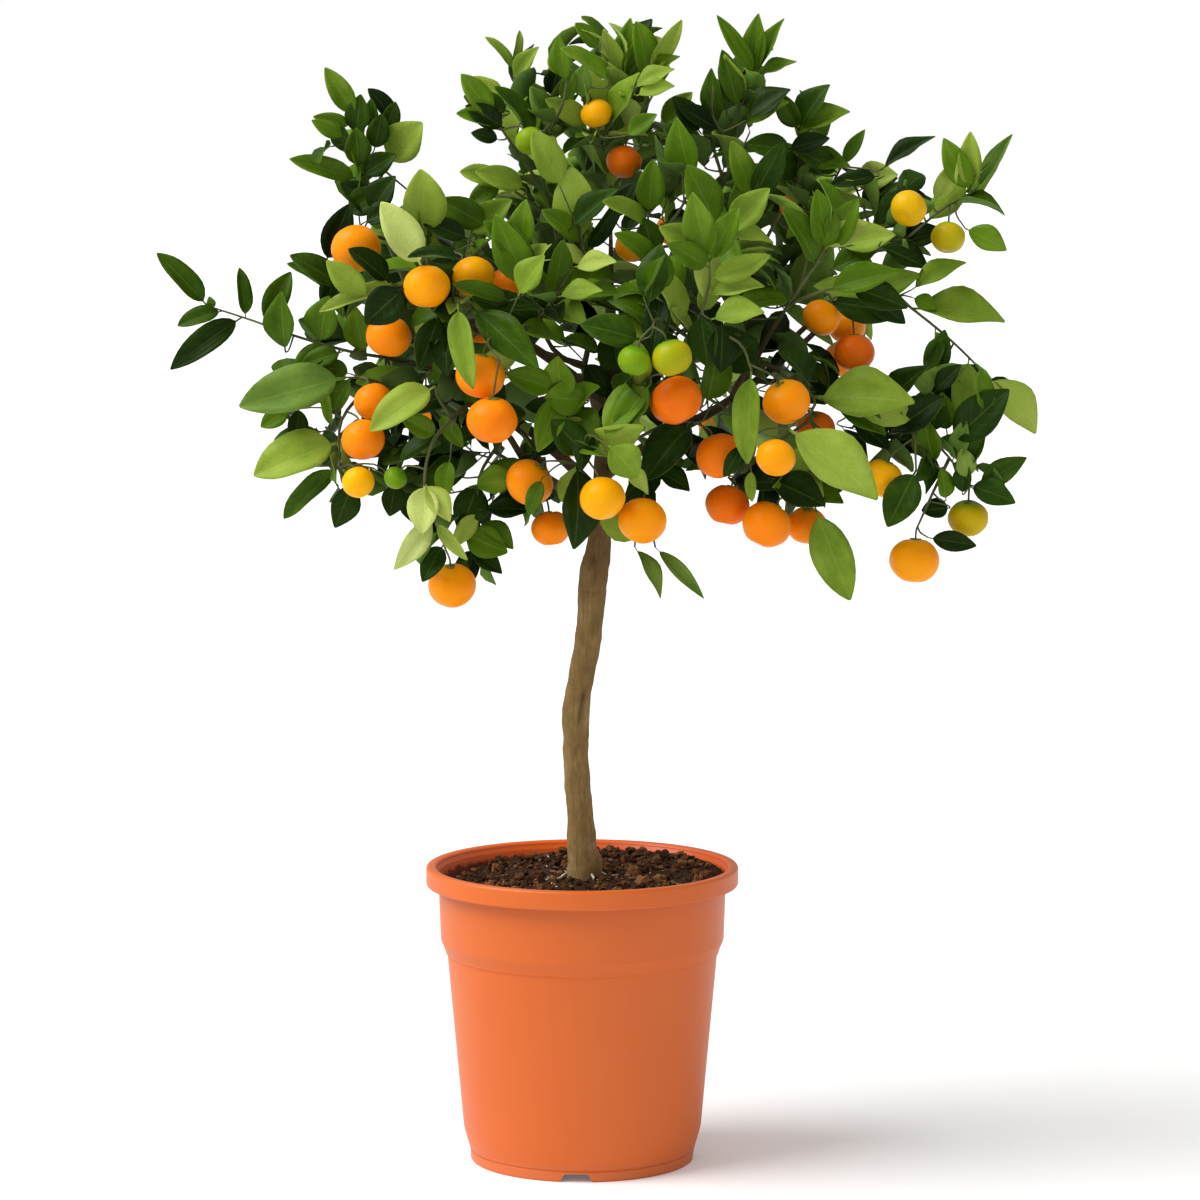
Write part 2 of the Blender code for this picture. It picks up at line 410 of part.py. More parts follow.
def join_solids(name, solids, finish):
    """One closed body from overlapping solids."""
    body = solids[0]
    others = bpy.data.collections.new(name + "_parts")
    for item in solids[1:]:
        others.objects.link(item)
    union = body.modifiers.new("union", "BOOLEAN")
    union.operation = "UNION"
    union.operand_type = "COLLECTION"
    union.collection = others
    union.solver = "EXACT"
    mesh = evaluated_mesh(body)
    if not is_closed(mesh):
        union.solver = "MANIFOLD"
        mesh = evaluated_mesh(body)
    for item in solids:
        remove_object(item)
    bpy.data.collections.remove(others)
    mesh.name = name
    return add_object(name, mesh, COLLECTION, finish)


def cut_solids(body, cutters):
    """Cut every cutter from the body with a Boolean modifier that stays on it."""
    group = new_collection(body.name + "_cutters")
    for cutter in cutters:
        group.objects.link(cutter)
        bpy.data.collections[CUTTERS].objects.unlink(cutter)
        cutter.hide_render = True
        cutter.display_type = "WIRE"
    cut = body.modifiers.new("openings", "BOOLEAN")
    cut.operation = "DIFFERENCE"
    cut.operand_type = "COLLECTION"
    cut.collection = group
    cut.solver = "EXACT"


def turned(name, profile, steps, finish):
    """A body turned about Z from (radius, height) points in mm."""
    shape = bmesh.new()
    corners = [shape.verts.new((radius * MM, 0.0, height * MM)) for radius, height in profile]
    for start, end in zip(corners, corners[1:]):
        shape.edges.new((start, end))
    body = add_object(name, mesh_from(shape, name), COLLECTION, finish)
    screw = body.modifiers.new("turn", "SCREW")
    screw.steps = steps
    screw.render_steps = steps
    screw.use_merge_vertices = True
    screw.merge_threshold = 0.1 * MM
    return body


def arc(centre, radius, start, end, count):
    """Points on an arc of a profile, angles in degrees."""
    angles = [math.radians(start + (end - start) * i / (count - 1)) for i in range(count)]
    return [(centre[0] + radius * math.cos(a), centre[1] + radius * math.sin(a)) for a in angles]


def pot_inner_profile():
    """The pot's inside from the floor's edge up to the lip, in mm."""
    return [(74.0, FLOOR_TOP), (77.8, 9.5), (81.8, 22.5), (92.8, 146.5), (97.4, 156.0), (99.3, 198.0)]


def make_pot():
    """Nursery pot: floor, tapered wall, step, collar and a rolled lip that hangs free outside."""
    lip = arc((RIM_RADIUS - 3.5, POT_HEIGHT - 3.5), 3.5, 120.0, 0.0, 4)
    skirt = [(RIM_RADIUS, 197.3), (108.8, 196.2), (107.4, 203.5), (102.8, 203.0)]
    collar = [(101.3, 200.0), (99.4, 155.0), (95.8, 147.0), (94.9, 145.0)]
    wall = [(84.0, 24.0), (80.6, 14.0), (79.8, 8.2), (78.7, 7.6), (FOOT_RADIUS, 7.0)]
    foot = [(FOOT_RADIUS, 0.8), (78.5, 0.0), (76.6, 0.0), (76.0, FLOOR_UNDER)]
    pad = [(PAD_RADIUS + 2.0, FLOOR_UNDER), (PAD_RADIUS, 0.0), (0.0, 0.0)]
    inside = [(0.0, FLOOR_TOP)] + pot_inner_profile() + [(101.5, 206.0)]
    pot = turned("pot", inside + lip + skirt + collar + wall + foot + pad, POT_STEPS, "pot")
    cut_solids(pot, drain_hole_cutters() + notch_cutters())


def drain_hole_cutters():
    """Rods through the pot's floor."""
    cutters = []
    for i in range(DRAIN_HOLES):
        angle = 2.0 * math.pi * (i + 0.5) / DRAIN_HOLES
        shape = bmesh.new()
        place = Matrix.Translation((DRAIN_CIRCLE * MM * math.cos(angle),
                                    DRAIN_CIRCLE * MM * math.sin(angle), 5.0 * MM))
        bmesh.ops.create_cone(shape, cap_ends=True, segments=8, radius1=DRAIN_DIAMETER / 2 * MM,
                              radius2=DRAIN_DIAMETER / 2 * MM, depth=12.0 * MM, matrix=place)
        cutters.append(add_object(f"drain_cutter_{i}", mesh_from(shape, "drain_cutter"), CUTTERS))
    return cutters


def notch_cutters():
    """Blocks through the foot ring, narrower at the top than at the ground."""
    cutters = []
    below = 2.0
    slope = (NOTCH_WIDTHS[0] - NOTCH_WIDTHS[1]) / NOTCH_HEIGHT
    for i in range(NOTCHES):
        shape = bmesh.new()
        bmesh.ops.create_cube(shape, size=1.0)
        for corner in shape.verts:
            low = corner.co.z < 0.0
            width = NOTCH_WIDTHS[0] + slope * below if low else NOTCH_WIDTHS[1]
            corner.co.x = (FOOT_RADIUS + corner.co.x * NOTCH_DEPTH) * MM
            corner.co.y = math.copysign(width / 2.0, corner.co.y) * MM
            corner.co.z = -below * MM if low else NOTCH_HEIGHT * MM
        turn = Matrix.Rotation(math.radians(NOTCH_FIRST + 360.0 * i / NOTCHES), 4, "Z")
        bmesh.ops.transform(shape, matrix=turn, verts=shape.verts)
        cutters.append(add_object(f"notch_cutter_{i}", mesh_from(shape, "notch_cutter"), CUTTERS))
    return cutters


def make_soil():
    """The soil column, a clearance inside the pot, with the root stub's hole."""
    top = [(0.0, SOIL_CROWN), (45.0, SOIL_CROWN - 0.5), (80.0, SOIL_CROWN - 2.5)]
    side = [(radius - ROUND_GAP / MM, height) for radius, height in reversed(pot_inner_profile())]
    side[0] = (side[0][0] - 0.2, SOIL_EDGE)
    bottom = FLOOR_TOP + GAP / MM
    side[-1] = (side[-1][0], bottom)
    soil = turned("soil", top + side + [(0.0, bottom)], SOIL_STEPS, "soil")
    in_soil = [point for point in TRUNK if point[2] < ROOT_TOP]
    places = [Vector(point[:3]) * CM for point in in_soil]
    places[0].z -= GAP
    radii = [point[3] * CM + ROUND_GAP for point in in_soil]
    cut_solids(soil, [tube("root_hole_cutter", places, radii, (TRUNK_SIDES - 4) // 2)])


def tapered(points, radii):
    """Radii in metres that run from the first to the second along the points."""
    last = len(points) - 1
    return [(radii[0] + (radii[1] - radii[0]) * i / last) * CM for i in range(last + 1)]


def point_on(route, station):
    """The place and direction at a station, 0 to 1, along a route."""
    lengths = [(end - start).length for start, end in zip(route, route[1:])]
    left = station * sum(lengths)
    for start, end, length in zip(route, route[1:], lengths):
        if left <= length or end is route[-1]:
            share = min(left / length, 1.0)
            return start.lerp(end, share), (end - start).normalized()
        left -= length
    return route[-1], (route[-1] - route[-2]).normalized()


def route_vectors(points):
    """A route in metres from points in cm."""
    return [Vector(point[:3]) * CM for point in points]


def bent_route(start, end, arrive, count):
    """A smooth route from start to end, whose last stretch runs straight along a direction."""
    last = end - arrive * STRAIGHT_END * CM
    handle = last - arrive * (last - start).length * 0.4
    route = []
    for i in range(count):
        t = i / (count - 1)
        route.append(start * (1 - t) ** 2 + handle * 2 * t * (1 - t) + last * t * t)
    return route + [end]


def make_trunk():
    """Stem, root stub, limbs and branches, grown as one piece of wood."""
    leader = route_vectors(TRUNK)
    solids = [tube("trunk_core", leader, [point[3] * CM for point in TRUNK],
                   (TRUNK_SIDES - 4) // 2)]
    stub = route_vectors(PRUNED_STUB)
    solids.append(tube("stub", stub, [point[3] * CM for point in PRUNED_STUB], 2))
    limbs = {name: route_vectors(points) for name, points in LIMBS.items()}
    for name, route in limbs.items():
        solids.append(tube("limb_" + name, route, tapered(route, LIMB_RADII), 1))
    limbs["leader"] = [place for place in leader if place.z > LEADER_FROM * CM]
    for name, shoot in SHOOTS.items():
        stem = route_vectors(shoot["routes"][0])
        start, _ = point_on(limbs[shoot["limb"]], shoot["at"] - ROOTED)
        arrive = (stem[1] - stem[0]).normalized()
        route = bent_route(start, stem[0] - arrive * GAP, arrive, 3)
        solids.append(tube("branch_" + name, route, tapered(route, BRANCH_RADII), 0))
    return join_solids("trunk", solids, "bark")


def fruit_axes():
    """Each fruit's centre, axis, the place its stalk starts from and the shoot that carries it."""
    places = []
    for name, shoot in SHOOTS.items():
        for points in shoot["routes"]:
            route = route_vectors(points)
            for step in range(1, STALK_STEPS + 1):
                place, _ = point_on(route, step / STALK_STEPS)
                places.append((place, name))
    carried = []
    for x, y, z, width, _ in FRUITS:
        centre = Vector((x, y, z)) * CM
        top = centre + Vector((0.0, 0.0, STALK_FROM * width * CM))
        start, name = min(places, key=lambda item: (item[0] - top).length)
        lean = (start - centre).normalized()
        axis = (Vector((0.0, 0.0, 1.0)) + lean * STALK_LEAN).normalized()
        carried.append((centre, axis, start, name))
    return carried


def make_fruits(carried):
    """Fruits, a little flattened along the axis of their stalks."""
    fruits = []
    for number, (spec, (centre, axis, _, _)) in enumerate(zip(FRUITS, carried), start=1):
        shape = bmesh.new()
        bmesh.ops.create_icosphere(shape, subdivisions=2, radius=spec[3] / 2.0 * CM)
        turn = Vector((0.0, 0.0, 1.0)).rotation_difference(axis).to_matrix().to_4x4()
        flat = Matrix.Scale(FRUIT_FLATNESS, 4, (0.0, 0.0, 1.0))
        bmesh.ops.transform(shape, matrix=Matrix.Translation(centre) @ turn @ flat, verts=shape.verts)
        name = f"fruit_{number:02d}"
        fruit = add_object(name, mesh_from(shape, name), COLLECTION, spec[4])
        fruit.data.shade_smooth()
        fruits.append(fruit)
    return fruits


def leaf_solid(place, length, width, swell=0.0):
    """A thin folded blade on a short petiole, from the stem's centre line out along local +Y."""
    shape = bmesh.new()
    bmesh.ops.create_uvsphere(shape, u_segments=4, v_segments=3, radius=1.0)
    for corner in shape.verts:
        along, half = min(LEAF_OUTLINE, key=lambda item: abs(item[0] - (corner.co.z + 1.0) / 2.0))[1:]
        across = round(corner.co.x) * math.copysign(1.0, half)
        above = round(corner.co.y)
        rise = LEAF_FOLD * width * half * abs(across)
        drop = LEAF_DROOP * length * along ** 2
        height = rise - drop + above * (LEAF_THICK / 2.0 + swell) * (half > 0.0)
        corner.co = Vector((across * half * (width / 2.0 + swell), along * (length + swell), height))
    bmesh.ops.recalc_face_normals(shape, faces=shape.faces)
    bmesh.ops.transform(shape, matrix=place, verts=shape.verts)
    return shape


def leaf_place(base, direction, face):
    """The matrix that stands a leaf at base, pointing along direction with its upper side to face."""
    along = direction.normalized()
    normal = (face - along * face.dot(along)).normalized()
    across = along.cross(normal)
    frame = Matrix((across, along, normal)).transposed().to_4x4()
    return Matrix.Translation(base) @ frame


def front_direction(heading, towards):
    """A direction from its heading seen from the front and its tilt to the front."""
    turn = math.radians(heading)
    tilt = math.radians(towards)
    return Vector((math.cos(turn) * math.cos(tilt), -math.sin(tilt), math.sin(turn) * math.cos(tilt)))


def placed_leaves(shoot):
    """Each listed leaf as (base, direction, upper side, length, width)."""
    face = Vector((0.0, -math.cos(math.radians(FACE_UP)), math.sin(math.radians(FACE_UP))))
    leaves = []
    for index, station, heading, towards, length, width in shoot["leaves"]:
        base, _ = point_on(route_vectors(shoot["routes"][index]), station)
        leaves.append((base, front_direction(heading, towards), face, length * CM, width * CM))
    return leaves


def spiral_leaves(name, shoot):
    """The leaves that stand in a spiral along every route, and a leaf at each route's end."""
    chance = random.Random(name)
    leaves = []
    for points in shoot["routes"]:
        route = route_vectors(points)
        length = sum((end - start).length for start, end in zip(route, route[1:]))
        count = max(2, round(length / (LEAF_SPACING * CM)))
        for i in range(1, count + 1):
            base, along = point_on(route, i / count)
            outward = (base - CROWN_CENTRE * CM).normalized()
            side = along.cross(Vector((0.0, 0.0, 1.0)) + outward).normalized()
            turn = Matrix.Rotation(math.radians(LEAF_TURN * i), 3, along)
            lean = math.radians(LEAF_LEAN + chance.uniform(-LEAN_SPREAD, LEAN_SPREAD))
            direction = along * math.cos(lean) + (turn @ side) * math.sin(lean)
            direction.z += chance.uniform(*LIFT_RANGE)
            face = outward * FACE_MIX[0] + Vector((0.0, 0.0, FACE_MIX[1])) + along * FACE_MIX[2]
            size = shoot["fill"] * CM * chance.uniform(*SIZE_RANGE)
            width = size * chance.uniform(*WIDTH_RANGE)
            leaves.append((base, direction.normalized(), face, size, width))
    return leaves


def tree_of(shape):
    """A search tree of a bmesh's faces."""
    return BVHTree.FromBMesh(shape)


def tree_of_object(item):
    """A search tree of an object's evaluated mesh."""
    shape = bmesh.new()
    shape.from_mesh(evaluated_mesh(item))
    tree = tree_of(shape)
    shape.free()
    return tree


def blade_tree(shape, base):
    """A search tree of a leaf without the narrow foot that it has at base."""
    blade = shape.copy()
    foot = min(blade.verts, key=lambda corner: (corner.co - base).length)
    ring = [edge.other_vert(foot).co for edge in foot.link_edges]
    foot.co = foot.co.lerp(sum(ring, Vector()) / len(ring), 0.5)
    tree = tree_of(blade)
    blade.free()
    return tree


def leaf_that_fits(leaf, obstacles, blades, fruit_spots):
    """The leaf, or the same leaf swung a little, that touches no other piece; None if all do."""
    base, direction, face, length, width = leaf
    side = direction.cross(face).normalized()
    for swing, pitch in LEAF_TRIES:
        turned_to = Matrix.Rotation(math.radians(swing), 3, face) @ direction
        turned_to = Matrix.Rotation(math.radians(pitch), 3, side) @ turned_to
        place = leaf_place(base, turned_to, face)
        shape = leaf_solid(place, length, width, swell=LEAF_CLEAR)
        tree = tree_of(shape)
        blade = blade_tree(shape, base)
        clear = not any(tree.overlap(other) for other in obstacles)
        clear = clear and not any(blade.overlap(other) for other in blades)
        clear = clear and not any((corner.co - centre).length < radius
                                  for corner in shape.verts for centre, radius in fruit_spots)
        shape.free()
        if clear:
            return place
    return None


def make_twigs(name, shoot, carried):
    """A shoot's stem, side twigs and fruit stalks, still as separate solids."""
    solids = []
    for index, points in enumerate(shoot["routes"]):
        route = route_vectors(points)
        resolution = 1 if index == 0 else 0
        solids.append(tube(f"{name}_twig_{index}", route, tapered(route, SHOOT_RADII), resolution))
    for spec, (centre, axis, start, carrier) in zip(FRUITS, carried):
        if carrier == name:
            top = centre + axis * (spec[3] / 2.0 * FRUIT_FLATNESS * CM + GAP)
            bend = top + axis * STALK_RISE * CM
            route = [start, start.lerp(bend, 0.55) + axis * 0.1 * CM, bend, top]
            solids.append(tube(f"{name}_stalk_{len(solids)}", route, tapered(route, STALK_RADII), 0))
    return solids


def make_shoot(name, shoot, solids, obstacles, fruit_spots):
    """A leafy shoot: its twigs and leaves joined in one grown piece."""
    blades = []
    every = FILL_EVERY[bool(shoot["leaves"])]
    for leaf in placed_leaves(shoot) + spiral_leaves(name, shoot)[::every]:
        place = leaf_that_fits(leaf, obstacles, blades, fruit_spots)
        if place is not None:
            shape = leaf_solid(place, leaf[3], leaf[4])
            blades.append(blade_tree(shape, place.translation))
            solids.append(add_object(f"{name}_leaf_{len(solids)}", mesh_from(shape, "leaf"), CUTTERS))
    return join_solids("shoot_" + name, solids, "leaf")


def main():
    clear_scene()
    new_collection(COLLECTION)
    new_collection(CUTTERS)
    make_pot()
    make_soil()
    trunk = make_trunk()
    carried = fruit_axes()
    fruits = make_fruits(carried)
    obstacles = [tree_of_object(item) for item in [trunk] + fruits]
    fruit_spots = [(centre, spec[3] / 2.0 * CM + LEAF_CLEAR)
                   for spec, (centre, _, _, _) in zip(FRUITS, carried)]
    twigs = {name: make_twigs(name, shoot, carried) for name, shoot in SHOOTS.items()}
    twig_trees = {name: [tree_of_object(item) for item in solids] for name, solids in twigs.items()}
    for name, shoot in SHOOTS.items():
        others = [tree for other, trees in twig_trees.items() if other != name for tree in trees]
        grown = make_shoot(name, shoot, twigs[name], obstacles + others, fruit_spots)
        obstacles.append(tree_of_object(grown))


main()
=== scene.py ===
"""Potted calamondin tree, dressed: leafy shoots, fruits, bark, compost and a satin plastic pot.

Units are metres, +Z is up, and the origin is the centre of the pot's underside.
"""

import math
import random

import bmesh
import bpy
import numpy as np
from mathutils import Matrix, Vector, noise


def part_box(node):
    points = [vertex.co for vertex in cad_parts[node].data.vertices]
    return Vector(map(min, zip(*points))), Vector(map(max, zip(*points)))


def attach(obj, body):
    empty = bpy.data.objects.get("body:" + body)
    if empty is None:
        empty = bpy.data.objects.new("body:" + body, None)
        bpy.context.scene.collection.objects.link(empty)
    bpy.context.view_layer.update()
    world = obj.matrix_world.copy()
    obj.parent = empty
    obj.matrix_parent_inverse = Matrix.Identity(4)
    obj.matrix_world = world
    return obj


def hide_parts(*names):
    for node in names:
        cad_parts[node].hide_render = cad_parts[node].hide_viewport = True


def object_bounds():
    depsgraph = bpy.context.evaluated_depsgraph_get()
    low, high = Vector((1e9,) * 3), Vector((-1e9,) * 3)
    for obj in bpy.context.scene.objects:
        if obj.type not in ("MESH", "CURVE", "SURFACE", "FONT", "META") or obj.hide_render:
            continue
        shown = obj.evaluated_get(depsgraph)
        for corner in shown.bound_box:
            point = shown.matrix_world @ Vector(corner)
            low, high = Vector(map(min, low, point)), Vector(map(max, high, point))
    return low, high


MM = 0.001
CM = 0.01
UP = Vector((0.0, 0.0, 1.0))

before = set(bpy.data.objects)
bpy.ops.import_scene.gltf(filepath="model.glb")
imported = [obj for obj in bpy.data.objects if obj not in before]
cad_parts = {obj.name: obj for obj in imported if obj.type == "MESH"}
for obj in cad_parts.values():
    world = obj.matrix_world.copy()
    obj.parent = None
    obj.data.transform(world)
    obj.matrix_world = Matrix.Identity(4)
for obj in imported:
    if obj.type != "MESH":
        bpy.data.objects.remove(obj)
CAD_LOW, CAD_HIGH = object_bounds()

# ---------------------------------------------------------------- the plant, as grown

# Stem: centre x, y, z and radius, in cm, from the root stub up to the leader's end.
STEM = [
    (0, 0.1, 12, 0.8), (0.1, 0.1, 17, 1.1), (0.1, 0.1, 19.4, 1.25), (0.15, 0.1, 20.8, 1.16),
    (0, 0, 22.2, 1.02), (-0.2, 0, 25.2, 0.92), (-0.45, 0, 28.8, 0.88), (-0.4, 0, 32, 0.94),
    (-0.1, 0, 34.2, 0.9), (0.4, 0, 36.7, 0.89), (0.65, 0, 39.6, 0.94), (0.8, 0, 41.6, 1),
    (1.1, 0, 43.4, 0.86), (1.3, 0, 45.4, 0.72), (1.4, 0, 48, 0.72), (1.6, 0.3, 52, 0.55),
    (1.9, 0.2, 57, 0.42), (2, 0, 61, 0.32),
]
# The radii, here and below, are those of the wood's two ends, in cm.
PRUNED_STUB = [(0.9, 0, 41), (0.55, -0.15, 41.9), (0.32, -0.2, 42.5)]
STUB_RADII = (0.62, 0.46)
LEADER_FROM = 45.0               # cm up the stem, where shoots begin
# Limbs: centre lines in cm, from the stem outwards.
LIMB_RADII = (0.46, 0.26)
LIMBS = {
    "left": [(1.3, 0, 47), (-1.5, -1.5, 50), (-5, -3, 53), (-8.5, -4, 56)],
    "left_low": [(1.2, -0.1, 46), (-1.5, -3.5, 48), (-4, -6, 50)],
    "right": [(1.5, 0, 48.5), (5, -1.5, 51), (9.5, -3, 53.5), (13.5, -3.5, 56.5)],
    "front": [(1.5, 0, 49.5), (2.3, -3, 51.5), (3.2, -5.5, 54), (4, -6.5, 57)],
    "back": [(1.6, 0.2, 50.5), (1, 3, 53), (0, 6, 56)],
    "back_right": [(1.6, 0.3, 51.5), (5, 3.5, 54), (9, 5.5, 57.5)],
    "upper_left": [(1.7, 0.3, 53.5), (-2, 0, 56.5), (-6.5, -1.5, 59.5)],
    "upper_right": [(1.8, 0.2, 55.5), (5, 0.8, 58.5), (9.5, 1.5, 61)],
}
BRANCH_RADII = (0.24, 0.14)
TWIG_RADII = (0.14, 0.07)
SIDE_TWIG_RADII = (0.08, 0.05)
TWIG_SIDES = 6                   # of a twig's cross section
STRAIGHT_END = 0.5               # cm of a branch that lead straight into its shoot

